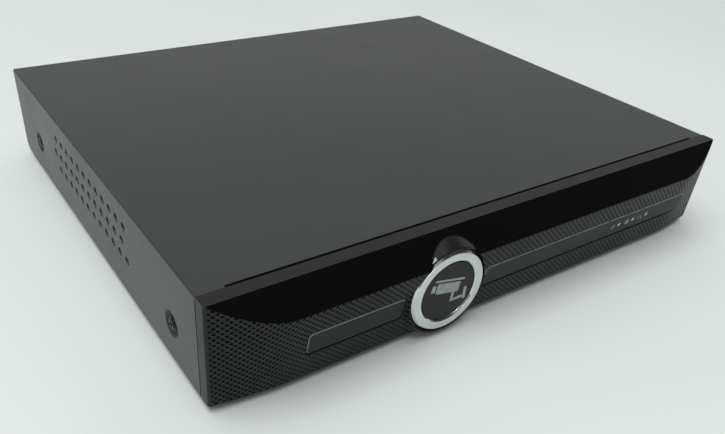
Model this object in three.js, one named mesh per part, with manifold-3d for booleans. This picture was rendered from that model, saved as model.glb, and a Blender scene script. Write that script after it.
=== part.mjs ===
// Compact video recorder for wired cameras: a shallow sheet-steel case with a moulded front bezel,
// one 3.5 inch disk across the front and a main board with its sockets along the back.
//
// Units are millimetres. x runs to the right, z up, and the front faces -y. While the pieces are
// made, y = 0 is the front edge of the bezel's top lip and z = 0 is the surface under the feet.

import * as THREE from 'three';
import { mergeVertices } from 'three/addons/utils/BufferGeometryUtils.js';
import Module from 'manifold-3d';

const wasm = await Module();
wasm.setup();

// ------------------------------------------------------------------ driving dimensions

// Case
const CASE_WIDTH = 260; // over the cover's sides
const CASE_DEPTH = 218; // lip's front edge to the cover's rear edge
const CASE_HEIGHT = 41.5; // bezel and cover, without the feet
const SHEET = 1; // steel sheet of the cover and the tray
const GAP = 0.3; // left between neighbouring pieces
const BEND_RADIUS = 1.6; // outside of the cover's long bends
const SLOT_INSET = 10; // solid sheet at each end of the slot behind the lip
const SLOT_WIDTH = 0.9;
const REAR_LAP = 7; // cover's flange down the rear panel
const CORNER_CLIP = 3; // cut from the cover's lower rear corners

// Side vents
const VENT_COLUMNS = 12;
const VENT_ROWS = 3;
const VENT_PITCH = 7.5;
const VENT_RADIUS = 1.7;
const VENT_TOP = 10; // first row below the case's top
const VENT_FRONT = 68.5; // first hole behind the lip's front edge

// Dished screw seats of the cover's sides
const SIDE_SCREW_FRONT = 27.2; // behind the lip's front edge
const SIDE_SCREW_REAR = 32.5; // ahead of the cover's rear edge
const SIDE_SCREW_DROP = 25.7; // below the case's top
const DISH_DEPTH = 1.7;
const DISH_MOUTH = 5.2;
const DISH_FLOOR = 4;

// Machine screws
const SCREW_HEAD = 2.9; // radius
const SCREW_HEAD_HEIGHT = 1.6;
const SCREW_SHANK = 1.45; // radius
const SCREW_LENGTH = 5;
const CROSS_WIDTH = 0.7;
const CROSS_LENGTH = 3;
const CROSS_DEPTH = 1;

// Feet
const FOOT_HEIGHT = 3;
const FOOT_RADIUS = 8;
const FOOT_INSET = 24; // foot's centre from the case's sides, front and rear
const FOOT_PEG = 2; // radius

// Bezel
const BEZEL_LIP = 5.5; // depth of the top lip and the side returns
const BEZEL_WALL = 2.4;
const FACE_TOP = 10.1; // leaning face ahead of the lip's edge, carried up to the case's top
const FACE_BOTTOM = 2.9; // the same face at the bezel's lower edge
const BAND_SLOPE = 0.8; // sloping band: forward for each millimetre down
const END_RUN = 28; // length over which the face sweeps back to each side
const END_PULL = 19; // control point of that sweep, from the side
const LATCH_WIDTH = 8;
const LATCH_REACH = 5; // behind the lip

// Round badge
const BADGE_X = -36.7;
const BADGE_DROP = 23.6; // centre below the case's top
const RING_OUTER = 17.2;
const RING_INNER = 12.7;
const RING_FACE = 7.5; // ahead of the lip's edge
const RING_THICKNESS = 1.7;
const RING_CHAMFER = 0.5;
const DISC_SINK = 0.6; // disc's face behind the ring's
const BOSS_RIM = 0.7; // boss around the ring
const BOSS_FACE = 7; // ahead of the lip's edge
const BOSS_FLARE = 4.3; // added to its radius where its flank meets the lip's plane

// Inlaid strips
const STRIP_HEIGHT = 9.8;
const STRIP_DROP = 25; // centre line below the case's top
const STRIP_THICKNESS = 1.2;
const STRIP_CLEAR = 0.2; // face below the bezel's
const STRIP_FROM_RING = 2.1; // nearest ends from the ring's edge
const STRIP_LEFT_MARGIN = 33.5; // left strip's far end from the case's side
const STRIP_RIGHT_MARGIN = 25; // right strip's far end from the case's side
const STRIP_CORNER = 1.2; // cut corners

// Status lights
const LIGHT_COUNT = 3;
const LIGHT_PITCH = 9.6;
const LIGHT_MARGIN = 21.4; // last light from the right strip's far end
const LIGHT_RADIUS = 1;

// Main board, from its right edge
const BOARD_WIDTH = 200;
const BOARD_DEPTH = 90;
const BOARD_THICKNESS = 1.6;
const BOARD_MARGIN = 6; // from the case's right side
const BOARD_SETBACK = 2; // behind it to the rear panel
const STANDOFF = 5;
const BNC_FIRST = 12;
const BNC_COUNT = 4;
const BNC_PITCH = 17;
const AUDIO_OFFSET = 81;
const HDMI_OFFSET = 98;
const VGA_OFFSET = 126;
const ETHERNET_OFFSET = 154;
const USB_OFFSET = 173;
const DC_OFFSET = 190;
const SWITCH_OFFSET = 220;
const PANEL_CLEAR = 0.5; // around sockets in the rear panel

// 3.5 inch disk
const DISK_LENGTH = 147;
const DISK_WIDTH = 101.6;
const DISK_HEIGHT = 26.1;
const DISK_MARGIN = 10; // from the case's left side
const DISK_FRONT = 12; // behind the lip's front edge
const DISK_RAISE = 3; // tray's dishes under it
const DISK_HOLE_SPAN = 95.25;
const DISK_HOLE_RUN = 44.45;
const DISK_HOLE_FIRST = 41.28; // from the connector end
const PLATTER_RADIUS = 47.5;
const PLATTER_BORE = 12.5;
const PLATTER_THICKNESS = 1.75;
const ARM_LENGTH = 52;

// Sides of round forms
const FINE_SIDES = 36;
const SIDES = 18;
const SMALL_SIDES = 10;
const VENT_SIDES = 8;

// Rocker switch
const ROCKER_RADIUS = 6;
const ROCKER_WIDTH = 7.4;
const ROCKER_TILT = THREE.MathUtils.degToRad(13); // either side of level
const SWITCH_WALL = 0.7; // housing round the rocker
const SWITCH_RIM = 1.1; // housing's frame over the panel

// ------------------------------------------------------------------ places that follow from them

const HALF = CASE_WIDTH / 2;
const FLOOR = FOOT_HEIGHT;
const TOP = FOOT_HEIGHT + CASE_HEIGHT;
const TRAY_HALF = HALF - SHEET - GAP;
const TRAY_TOP = FLOOR + SHEET;
const TRAY_FRONT = BEZEL_LIP + GAP;
const PANEL_FACE = CASE_DEPTH - SHEET - GAP; // rear panel's outer face
const PANEL_BACK = PANEL_FACE - SHEET;
const SIDE_SCREW_Z = TOP - SIDE_SCREW_DROP;
const SIDE_SCREW_YS = [SIDE_SCREW_FRONT, CASE_DEPTH - SIDE_SCREW_REAR];
const BOARD_RIGHT = HALF - BOARD_MARGIN;
const BOARD_LEFT = BOARD_RIGHT - BOARD_WIDTH;
const BOARD_REAR = PANEL_BACK - BOARD_SETBACK;
const BOARD_FRONT = BOARD_REAR - BOARD_DEPTH;
const BOARD_UNDER = TRAY_TOP + STANDOFF + GAP;
const BOARD_TOP = BOARD_UNDER + BOARD_THICKNESS;
const SOCKET_BASE = BOARD_TOP + GAP;
const BADGE_Z = TOP - BADGE_DROP;
const STRIP_Z = TOP - STRIP_DROP;
const FACE_LEAN = Math.atan((FACE_TOP - FACE_BOTTOM) / CASE_HEIGHT);
const DISK_CENTRE = [-HALF + DISK_MARGIN + DISK_LENGTH / 2, DISK_FRONT + DISK_WIDTH / 2];
const DISK_UNDER = TRAY_TOP + DISK_RAISE + GAP;

const BEZEL_CREST = (BAND_SLOPE * FACE_TOP) / (BAND_SLOPE + Math.tan(FACE_LEAN)); // band meets face

const faceDepth = (z) => FACE_BOTTOM + ((FACE_TOP - FACE_BOTTOM) * (z - FLOOR)) / CASE_HEIGHT;
const fromBoardRight = (offset) => BOARD_RIGHT - offset;

// ------------------------------------------------------------------ finishes

const FINISHES = {
  paintedSteel: { color: 0x424745, roughness: 0.5, metalness: 0.1 },
  platedSteel: { color: 0xa9adb0, roughness: 0.4, metalness: 0.9 },
  blackScrew: { color: 0x1c1d1e, roughness: 0.35, metalness: 0.8 },
  blackPlastic: { color: 0x1e2122, roughness: 0.6, metalness: 0 },
  satinBlack: { color: 0x26292b, roughness: 0.4, metalness: 0 },
  silver: { color: 0xb5bcbc, roughness: 0.3, metalness: 0.9 },
  nickel: { color: 0xc4c1b8, roughness: 0.25, metalness: 1 },
  castAluminium: { color: 0x9a9ea0, roughness: 0.55, metalness: 0.9 },
  rubber: { color: 0x151616, roughness: 0.9, metalness: 0 },
  greenBoard: { color: 0x1d4a2c, roughness: 0.5, metalness: 0 },
  blueInsert: { color: 0x1d3f93, roughness: 0.5, metalness: 0 },
  whiteInsert: { color: 0xd9d9d2, roughness: 0.5, metalness: 0 },
  redInsert: { color: 0xa82320, roughness: 0.5, metalness: 0 },
  clearPlastic: { color: 0xd8e2e2, roughness: 0.2, metalness: 0 },
  cableGrey: { color: 0x8b9094, roughness: 0.6, metalness: 0 },
  cableRed: { color: 0x9e2a25, roughness: 0.55, metalness: 0 },
  mirrorDisk: { color: 0xd4d6d8, roughness: 0.05, metalness: 1 },
};

// ------------------------------------------------------------------ solids

const recorder = new THREE.Group();

/** A closed solid from a three.js geometry, moved by a matrix where one is given. */
function solidOf(geometry, matrix = null) {
  const bare = geometry.clone();
  for (const name of ['normal', 'uv']) bare.deleteAttribute(name);
  if (matrix) bare.applyMatrix4(matrix);
  const merged = mergeVertices(bare);
  return new wasm.Manifold(
    new wasm.Mesh({
      numProp: 3,
      vertProperties: Float32Array.from(merged.attributes.position.array),
      triVerts: Uint32Array.from(merged.index.array),
    }),
  );
}

/** A box between low and high values on each axis. */
function box([x0, x1], [y0, y1], [z0, z1]) {
  const geometry = new THREE.BoxGeometry(x1 - x0, y1 - y0, z1 - z0);
  geometry.translate((x0 + x1) / 2, (y0 + y1) / 2, (z0 + z1) / 2);
  return solidOf(geometry);
}

/** A rod or a cone between two points. */
function rod(from, to, radius, sides = SIDES, endRadius = radius) {
  const run = new THREE.Vector3(...to).sub(new THREE.Vector3(...from));
  const length = run.length();
  const geometry = new THREE.CylinderGeometry(endRadius, radius, length, sides);
  geometry.translate(0, length / 2, 0);
  const up = new THREE.Vector3(0, 1, 0);
  geometry.applyQuaternion(new THREE.Quaternion().setFromUnitVectors(up, run.normalize()));
  geometry.translate(...from);
  return solidOf(geometry);
}

/** Outline axes and extrusion axis for a prism along x, y or z. */
const PRISM_AXES = {
  x: [[0, 1, 0], [0, 0, 1], [1, 0, 0]],
  y: [[1, 0, 0], [0, 0, 1], [0, -1, 0]],
  z: [[1, 0, 0], [0, 1, 0], [0, 0, 1]],
};

/** An outline in (y, z), (x, z) or (x, y), extruded along x, y or z between two values. */
function prismGeometry(outline, axis, low, high, curveSegments = 6) {
  const shape = outline instanceof THREE.Shape
    ? outline
    : new THREE.Shape(outline.map(([a, b]) => new THREE.Vector2(a, b)));
  const geometry = new THREE.ExtrudeGeometry(shape, {
    depth: high - low,
    bevelEnabled: false,
    curveSegments,
  });
  geometry.translate(0, 0, axis === 'y' ? -high : low);
  const basis = PRISM_AXES[axis].map((v) => new THREE.Vector3(...v));
  return geometry.applyMatrix4(new THREE.Matrix4().makeBasis(...basis));
}

const prism = (...args) => solidOf(prismGeometry(...args));

/** A turned solid about z, from [radius, height] pairs that start and end on the axis or close. */
function turned(profile, sides = SIDES) {
  const points = profile.map(([r, h]) => new THREE.Vector2(r, h));
  const geometry = new THREE.LatheGeometry(points, sides);
  geometry.rotateX(Math.PI / 2);
  return solidOf(geometry);
}

/** A rectangle centred on a point, with cut corners where a cut is given. */
function cutRectangle(width, height, [cx, cy] = [0, 0], cut = 0) {
  const [w, h] = [width / 2, height / 2];
  const corners = cut
    ? [[w - cut, -h], [w, cut - h], [w, h - cut], [w - cut, h],
      [cut - w, h], [-w, h - cut], [-w, cut - h], [cut - w, -h]]
    : [[w, -h], [w, h], [-w, h], [-w, -h]];
  return corners.map(([a, b]) => [cx + a, cy + b]);
}

/** The outline of a strap of one thickness along a smooth curve through flat points. */
function strapOutline(points, thickness, steps = 24) {
  const curve = new THREE.CatmullRomCurve3(points.map(([a, b]) => new THREE.Vector3(a, b, 0)));
  const sides = [1, -1].map((side) =>
    Array.from({ length: steps + 1 }, (_, i) => {
      const at = curve.getPoint(i / steps);
      const along = curve.getTangent(i / steps);
      const offset = (side * thickness) / 2;
      return [at.x - along.y * offset, at.y + along.x * offset];
    }),
  );
  return [...sides[0], ...sides[1].reverse()];
}

/** Adds a named piece; facing turns its own +z to that direction. */
function addPiece(name, solid, finish, { at = [0, 0, 0], facing = null, spin = 0 } = {}) {
  const { vertProperties, triVerts } = solid.getMesh();
  const geometry = new THREE.BufferGeometry();
  geometry.setAttribute('position', new THREE.BufferAttribute(vertProperties, 3));
  geometry.setIndex(new THREE.BufferAttribute(triVerts, 1));
  geometry.computeVertexNormals();
  const mesh = new THREE.Mesh(geometry, new THREE.MeshStandardMaterial(FINISHES[finish]));
  mesh.name = name;
  mesh.position.set(...at);
  if (facing) {
    const up = new THREE.Vector3(0, 0, 1);
    mesh.quaternion.setFromUnitVectors(up, new THREE.Vector3(...facing));
  }
  if (spin) mesh.rotateZ(spin);
  recorder.add(mesh);
  return mesh;
}

/** A pan-head screw with a cross recess: its head stands on z = 0 and its shank hangs below. */
function screwSolid(length = SCREW_LENGTH) {
  let screw = turned(
    [
      [0, -length],
      [SCREW_SHANK, -length],
      [SCREW_SHANK, 0],
      [SCREW_HEAD, 0],
      [SCREW_HEAD, SCREW_HEAD_HEIGHT * 0.5],
      [SCREW_HEAD * 0.7, SCREW_HEAD_HEIGHT],
      [0, SCREW_HEAD_HEIGHT],
    ],
    SMALL_SIDES,
  );
  const [long, wide] = [CROSS_LENGTH / 2, CROSS_WIDTH / 2];
  const depth = [SCREW_HEAD_HEIGHT - CROSS_DEPTH, SCREW_HEAD_HEIGHT + 1];
  screw = screw.subtract(box([-long, long], [-wide, wide], depth));
  return screw.subtract(box([-wide, wide], [-long, long], depth));
}

/** A dished screw seat pressed into sheet: at is on the outer face, inward is a unit vector. */
function pressDish(sheet, at, inward, depth) {
  const along = (distance) => at.map((value, i) => value + inward[i] * distance);
  const outer = rod(at, along(depth + SHEET), DISH_MOUTH + SHEET, SIDES, DISH_FLOOR + SHEET);
  const inner = rod(along(-1), along(depth), DISH_MOUTH, SIDES, DISH_FLOOR);
  const bore = rod(along(-1), along(depth + SHEET + 1), SCREW_SHANK + GAP, SMALL_SIDES);
  return sheet.add(outer).subtract(inner).subtract(bore);
}

// ------------------------------------------------------------------ cover and its screws

/** The cover's section: a sheet folded down both sides with rounded bends. */
function coverSection() {
  const inner = HALF - SHEET;
  const bend = TOP - BEND_RADIUS;
  const turn = HALF - BEND_RADIUS;
  const shape = new THREE.Shape();
  shape.moveTo(-inner, FLOOR);
  shape.lineTo(-HALF, FLOOR);
  shape.lineTo(-HALF, bend);
  shape.absarc(-turn, bend, BEND_RADIUS, Math.PI, Math.PI / 2, true);
  shape.lineTo(turn, TOP);
  shape.absarc(turn, bend, BEND_RADIUS, Math.PI / 2, 0, true);
  shape.lineTo(HALF, FLOOR);
  shape.lineTo(inner, FLOOR);
  shape.lineTo(inner, bend);
  shape.absarc(turn, bend, BEND_RADIUS - SHEET, 0, Math.PI / 2, false);
  shape.lineTo(-turn, TOP - SHEET);
  shape.absarc(-turn, bend, BEND_RADIUS - SHEET, Math.PI / 2, Math.PI, false);
  shape.lineTo(-inner, FLOOR);
  return shape;
}

const REAR_SCREW_XS = [-HALF + 18, HALF - 18];
const REAR_SCREW_Z = TOP - REAR_LAP / 2 - SHEET / 2;

function makeCover() {
  const front = BEZEL_LIP + GAP;
  const slotHalf = HALF - SLOT_INSET;
  const across = [-HALF - 1, HALF + 1];
  let cover = prism(coverSection(), 'y', front, CASE_DEPTH, 3);
  const lap = HALF - BEND_RADIUS;
  const lapDepth = [CASE_DEPTH - SHEET, CASE_DEPTH];
  cover = cover.add(box([-lap, lap], lapDepth, [TOP - REAR_LAP, TOP - SHEET / 2]));
  cover = cover.subtract(
    box([-slotHalf, slotHalf], [front - 1, front + SLOT_WIDTH], [TOP - SHEET - 1, TOP + 1]),
  );
  const clip = [
    [CASE_DEPTH - CORNER_CLIP, FLOOR - 0.01],
    [CASE_DEPTH + 0.01, FLOOR - 0.01],
    [CASE_DEPTH + 0.01, FLOOR + CORNER_CLIP],
  ];
  cover = cover.subtract(prism(clip, 'x', ...across));
  for (let row = 0; row < VENT_ROWS; row += 1) {
    const shift = row % 2 ? VENT_PITCH / 2 : 0;
    const z = TOP - VENT_TOP - row * VENT_PITCH;
    for (let column = 0; column < VENT_COLUMNS; column += 1) {
      const y = VENT_FRONT + shift + column * VENT_PITCH;
      cover = cover.subtract(rod([across[0], y, z], [across[1], y, z], VENT_RADIUS, VENT_SIDES));
    }
  }
  for (const side of [-1, 1]) {
    for (const y of SIDE_SCREW_YS) {
      cover = pressDish(cover, [side * HALF, y, SIDE_SCREW_Z], [-side, 0, 0], DISH_DEPTH);
    }
  }
  for (const x of REAR_SCREW_XS) {
    const bore = [[x, CASE_DEPTH - 3, REAR_SCREW_Z], [x, CASE_DEPTH + 1, REAR_SCREW_Z]];
    cover = cover.subtract(rod(...bore, SCREW_SHANK + GAP, SMALL_SIDES));
  }
  addPiece('top_cover', cover, 'paintedSteel');
}

function makeCoverScrews() {
  for (const [side, label] of [[-1, 'left'], [1, 'right']]) {
    SIDE_SCREW_YS.forEach((y, i) => {
      const at = [side * (HALF - DISH_DEPTH + GAP), y, SIDE_SCREW_Z];
      const name = `side_screw_${label}_${i ? 'rear' : 'front'}`;
      addPiece(name, screwSolid(), 'blackScrew', { at, facing: [side, 0, 0], spin: 0.4 + i });
    });
  }
  REAR_SCREW_XS.forEach((x, i) => {
    const at = [x, CASE_DEPTH + GAP, REAR_SCREW_Z];
    const name = `rear_screw_${i ? 'right' : 'left'}`;
    addPiece(name, screwSolid(), 'blackScrew', { at, facing: [0, 1, 0], spin: 0.7 * i + 0.3 });
  });
}

// ------------------------------------------------------------------ bezel, badge and strips

/** The bezel's outer form or, with an inset, its hollow, which is open at the back. */
function bezelForm(inset) {
  const half = HALF - inset;
  const [low, high] = [FLOOR + inset, TOP - inset];
  const back = inset ? BEZEL_LIP + 1 : BEZEL_LIP;
  const plan = new THREE.Shape();
  plan.moveTo(-half, back);
  plan.lineTo(-half, 0);
  plan.quadraticCurveTo(END_PULL - half, -FACE_TOP, END_RUN - half, -FACE_TOP);
  plan.lineTo(half - END_RUN, -FACE_TOP);
  plan.quadraticCurveTo(half - END_PULL, -FACE_TOP, half, 0);
  plan.lineTo(half, back);
  plan.lineTo(-half, back);
  const geometry = prismGeometry(plan, 'z', low, high, 9);
  const points = geometry.attributes.position;
  for (let i = 0; i < points.count; i += 1) {
    const y = points.getY(i);
    if (y <= 0) points.setY(i, inset + (y * faceDepth(points.getZ(i))) / FACE_TOP);
  }
  const lipEdge = inset * (Math.hypot(1, BAND_SLOPE) - BAND_SLOPE);
  const reach = FACE_TOP + 1;
  const wedge = [
    [back, low],
    [-reach, low],
    [-reach, high - (reach + lipEdge) / BAND_SLOPE],
    [lipEdge, high],
    [back, high],
  ];
  return solidOf(geometry).intersect(prism(wedge, 'x', -half, half));
}

/** Carries flat shapes at the strips' centre line onto the leaning face: x, up the face, out. */
function faceMatrix() {
  const [sin, cos] = [Math.sin(FACE_LEAN), Math.cos(FACE_LEAN)];
  const matrix = new THREE.Matrix4().makeBasis(
    new THREE.Vector3(1, 0, 0),
    new THREE.Vector3(0, -sin, cos),
    new THREE.Vector3(0, -cos, -sin),
  );
  return matrix.setPosition(0, -faceDepth(STRIP_Z), STRIP_Z);
}

/** A flat piece on the leaning face between two depths, measured out from the face. */
function onFace(outline, low, high) {
  return solidOf(prismGeometry(outline, 'z', low, high), faceMatrix());
}

const STRIPS = {
  left: [-HALF + STRIP_LEFT_MARGIN, BADGE_X - RING_OUTER - STRIP_FROM_RING],
  right: [BADGE_X + RING_OUTER + STRIP_FROM_RING, HALF - STRIP_RIGHT_MARGIN],
};
const LIGHT_XS = Array.from(
  { length: LIGHT_COUNT },
  (_, i) => STRIPS.right[1] - LIGHT_MARGIN - (LIGHT_COUNT - 1 - i) * LIGHT_PITCH,
);
const LATCH_XS = [-HALF + 22, -HALF / 3, HALF / 8, HALF - 22];

/** A strip's outline, larger all round by grow. */
function stripOutline([left, right], grow) {
  const size = [right - left + 2 * grow, STRIP_HEIGHT + 2 * grow];
  return cutRectangle(...size, [(left + right) / 2, 0], STRIP_CORNER);
}

/** A round peg or hole normal to the leaning face at one light. */
function lightPeg(x, radius, low, high) {
  const ring = new THREE.Shape().absarc(x, 0, radius, 0, Math.PI * 2, false);
  return onFace(ring, low, high);
}

function makeBezel() {
  const badge = (y) => [BADGE_X, y, BADGE_Z];
  const rim = RING_OUTER + GAP + BOSS_RIM;
  let bezel = bezelForm(0);
  const boss = rod(badge(0), badge(-BOSS_FACE), rim + BOSS_FLARE, FINE_SIDES, rim);
  const trim = box([-HALF, HALF], [-FACE_TOP - 1, BEZEL_LIP], [FLOOR, TOP]);
  bezel = bezel.add(boss.intersect(trim)).subtract(bezelForm(BEZEL_WALL));
  const seatFloor = -RING_FACE + RING_THICKNESS + GAP;
  bezel = bezel.add(rod(badge(seatFloor + BEZEL_WALL), badge(seatFloor), rim, FINE_SIDES).intersect(trim));
  bezel = bezel.subtract(rod(badge(seatFloor), badge(-FACE_TOP - 1), RING_OUTER + GAP, FINE_SIDES));
  for (const strip of Object.values(STRIPS)) {
    bezel = bezel.subtract(onFace(stripOutline(strip, GAP), -STRIP_THICKNESS - STRIP_CLEAR - GAP, 2));
  }
  for (const x of LIGHT_XS) bezel = bezel.subtract(lightPeg(x, LIGHT_RADIUS + GAP, -8, 1));
  for (const x of LATCH_XS) {
    const width = [x - LATCH_WIDTH / 2, x + LATCH_WIDTH / 2];
    const low = FLOOR + BEZEL_WALL - 0.4;
    const end = BEZEL_LIP + LATCH_REACH;
    bezel = bezel.add(box(width, [1, end], [low, low + 2]));
    bezel = bezel.add(box(width, [end - 2, end], [low + 1, low + 3]));
  }
  addPiece('front_bezel', bezel, 'blackPlastic');
}

function makeBadge() {
  const back = 0;
  const front = RING_THICKNESS;
  const ring = turned(
    [
      [RING_INNER, back],
      [RING_OUTER, back],
      [RING_OUTER, front - RING_CHAMFER],
      [RING_OUTER - RING_CHAMFER, front],
      [RING_INNER + RING_CHAMFER, front],
      [RING_INNER, front - RING_CHAMFER],
      [RING_INNER, back],
    ],
    FINE_SIDES,
  );
  const placed = { at: [BADGE_X, RING_THICKNESS - RING_FACE, BADGE_Z], facing: [0, -1, 0] };
  addPiece('badge_ring', ring, 'silver', placed);
  const disc = [[0, 0], [RING_INNER - GAP, 0], [RING_INNER - GAP, front - DISC_SINK]];
  addPiece('badge_disc', turned([...disc, [0, front - DISC_SINK]], FINE_SIDES), 'satinBlack', placed);
}

function makeStrips() {
  const depths = [-STRIP_THICKNESS - STRIP_CLEAR, -STRIP_CLEAR];
  const left = onFace(stripOutline(STRIPS.left, 0), ...depths);
  addPiece('left_strip', left, 'satinBlack');
  let right = onFace(stripOutline(STRIPS.right, 0), ...depths);
  for (const x of LIGHT_XS) right = right.subtract(lightPeg(x, LIGHT_RADIUS + GAP, -4, 1));
  addPiece('indicator_strip', right, 'satinBlack');
}

function makeStatusLights() {
  const barOutline = [LIGHT_XS[0] - 4, LIGHT_XS[LIGHT_COUNT - 1] + 4];
  const bar = cutRectangle(barOutline[1] - barOutline[0], 6, [(barOutline[0] + barOutline[1]) / 2, 0]);
  const barTop = -BEZEL_WALL - GAP - 0.4;
  let guide = onFace(bar, barTop - 1.5, barTop);
  for (const x of LIGHT_XS) guide = guide.add(lightPeg(x, LIGHT_RADIUS, barTop - 1, -STRIP_CLEAR));
  addPiece('light_guide', guide, 'clearPlastic');
  const boardFront = BEZEL_LIP - 3.6;
  let board = box(
    [LIGHT_XS[0] - 12, LIGHT_XS[LIGHT_COUNT - 1] + 12],
    [boardFront, boardFront + BOARD_THICKNESS],
    [STRIP_Z - 7, STRIP_Z + 7],
  );
  for (const x of LIGHT_XS) {
    board = board.add(box([x - 1, x + 1], [boardFront - 1, boardFront + 0.1], [STRIP_Z - 1, STRIP_Z + 1]));
  }
  addPiece('light_board', board, 'greenBoard');
}

// ------------------------------------------------------------------ tray and feet

const FOOT_PLACES = [-1, 1].flatMap((side) =>
  [FOOT_INSET, CASE_DEPTH - FOOT_INSET].map((y, i) => ({
    name: `foot_${i ? 'rear' : 'front'}_${side < 0 ? 'left' : 'right'}`,
    x: side * (HALF - FOOT_INSET),
    y,
  })),
);
const DISK_HOLES = [-1, 1].flatMap((side) =>
  [0, DISK_HOLE_RUN].map((run) => [
    DISK_CENTRE[0] + DISK_LENGTH / 2 - DISK_HOLE_FIRST - run,
    DISK_CENTRE[1] + (side * DISK_HOLE_SPAN) / 2,
  ]),
);
const BOARD_HOLES = [BOARD_LEFT + 6, BOARD_RIGHT - 6].flatMap((x) =>
  [BOARD_FRONT + 6, BOARD_FRONT + 62].map((y) => [x, y]),
);
const RIBBON_X = LIGHT_XS[1];
const RIBBON_WIDTH = 12;

/** Openings in the rear panel, one for each socket. */
function rearCutouts() {
  const through = [PANEL_BACK - 1, PANEL_FACE + 1];
  const square = (x, width, low, high) =>
    box([x - width / 2 - PANEL_CLEAR, x + width / 2 + PANEL_CLEAR], through, [
      low - PANEL_CLEAR,
      high + PANEL_CLEAR,
    ]);
  const round = (x, z, radius) =>
    rod([x, through[0], z], [x, through[1], z], radius + PANEL_CLEAR, SIDES);
  const cuts = [
    square(AUDIO.x, AUDIO.width, SOCKET_BASE, SOCKET_BASE + AUDIO.height),
    square(HDMI.x, HDMI.width, SOCKET_BASE, SOCKET_BASE + HDMI.height),
    square(ETHERNET.x, ETHERNET.width, SOCKET_BASE, SOCKET_BASE + ETHERNET.height),
    square(USB.x, USB.width, SOCKET_BASE, SOCKET_BASE + USB.height),
    square(DC.x, DC.width, SOCKET_BASE, SOCKET_BASE + DC.height),
    square(VGA.x, VGA.mouth[0], VGA.z - VGA.mouth[1] / 2, VGA.z + VGA.mouth[1] / 2),
    square(SWITCH.x, SWITCH.body[0], SWITCH.z - SWITCH.body[1] / 2, SWITCH.z + SWITCH.body[1] / 2),
    ...BNC.xs.map((x) => round(x, BNC.z, BNC.neck)),
    ...[-1, 1].map((side) => round(VGA.x + side * VGA.postSpan, VGA.z, VGA.post)),
  ];
  for (const x of REAR_SCREW_XS) cuts.push(round(x, REAR_SCREW_Z, SCREW_SHANK - PANEL_CLEAR + GAP));
  return cuts;
}

function makeTray() {
  const sideFace = HALF - SHEET - DISH_DEPTH - GAP; // flanges stand inside the cover's dishes
  const depth = [TRAY_FRONT, PANEL_FACE];
  let tray = box([-TRAY_HALF, TRAY_HALF], depth, [FLOOR, TRAY_TOP]);
  tray = tray.add(box([-TRAY_HALF, TRAY_HALF], [PANEL_BACK, PANEL_FACE], [FLOOR, TOP - SHEET - GAP]));
  tray = tray.add(
    box([-sideFace, sideFace], [TRAY_FRONT, TRAY_FRONT + SHEET], [FLOOR, TOP - SHEET - 4]),
  );
  for (const side of [-1, 1]) {
    const flange = [side * sideFace, side * (sideFace - SHEET)].sort((a, b) => a - b);
    tray = tray.add(box(flange, depth, [FLOOR, TRAY_TOP + 7]));
    for (const y of SIDE_SCREW_YS) {
      tray = tray.add(box(flange, [y - 7, y + 7], [FLOOR, SIDE_SCREW_Z + 6]));
      const bore = [flange[0] - 1, flange[1] + 1].map((x) => [x, y, SIDE_SCREW_Z]);
      tray = tray.subtract(rod(...bore, SCREW_SHANK + GAP, SMALL_SIDES));
    }
  }
  for (const [x, y] of DISK_HOLES) tray = pressDish(tray, [x, y, FLOOR], [0, 0, 1], DISK_RAISE);
  for (const { x, y } of FOOT_PLACES) {
    tray = tray.subtract(rod([x, y, FLOOR - 1], [x, y, TRAY_TOP + 1], FOOT_PEG + GAP, SMALL_SIDES));
  }
  for (const [x, y] of BOARD_HOLES) {
    tray = tray.add(rod([x, y, FLOOR], [x, y, TRAY_TOP + STANDOFF], 3, SMALL_SIDES));
    tray = tray.subtract(rod([x, y, TRAY_TOP], [x, y, BOARD_TOP], SCREW_SHANK + GAP, SMALL_SIDES));
  }
  for (const x of LATCH_XS) {
    const slot = [x - LATCH_WIDTH / 2 - PANEL_CLEAR, x + LATCH_WIDTH / 2 + PANEL_CLEAR];
    const heights = [TRAY_TOP + 0.5, FLOOR + BEZEL_WALL + 3.2];
    tray = tray.subtract(box(slot, [TRAY_FRONT - 1, TRAY_FRONT + SHEET + 1], heights));
  }
  const window = [RIBBON_X - RIBBON_WIDTH / 2 - 2, RIBBON_X + RIBBON_WIDTH / 2 + 2];
  tray = tray.subtract(box(window, [TRAY_FRONT - 1, TRAY_FRONT + SHEET + 1], [STRIP_Z - 5, STRIP_Z + 5]));
  for (const cut of rearCutouts()) tray = tray.subtract(cut);
  addPiece('base_tray', tray, 'platedSteel');
}

function makeFeet() {
  const seat = FLOOR - GAP;
  const foot = turned(
    [
      [0, 1],
      [FOOT_RADIUS * 0.45, 1],
      [FOOT_RADIUS * 0.5, 0],
      [FOOT_RADIUS - 1, 0],
      [FOOT_RADIUS, 0.8],
      [FOOT_RADIUS, seat],
      [FOOT_PEG, seat],
      [FOOT_PEG, TRAY_TOP + 1],
      [0, TRAY_TOP + 1],
    ],
    SIDES,
  );
  for (const { name, x, y } of FOOT_PLACES) addPiece(name, foot, 'rubber', { at: [x, y, 0] });
}

// ------------------------------------------------------------------ rear sockets

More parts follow.
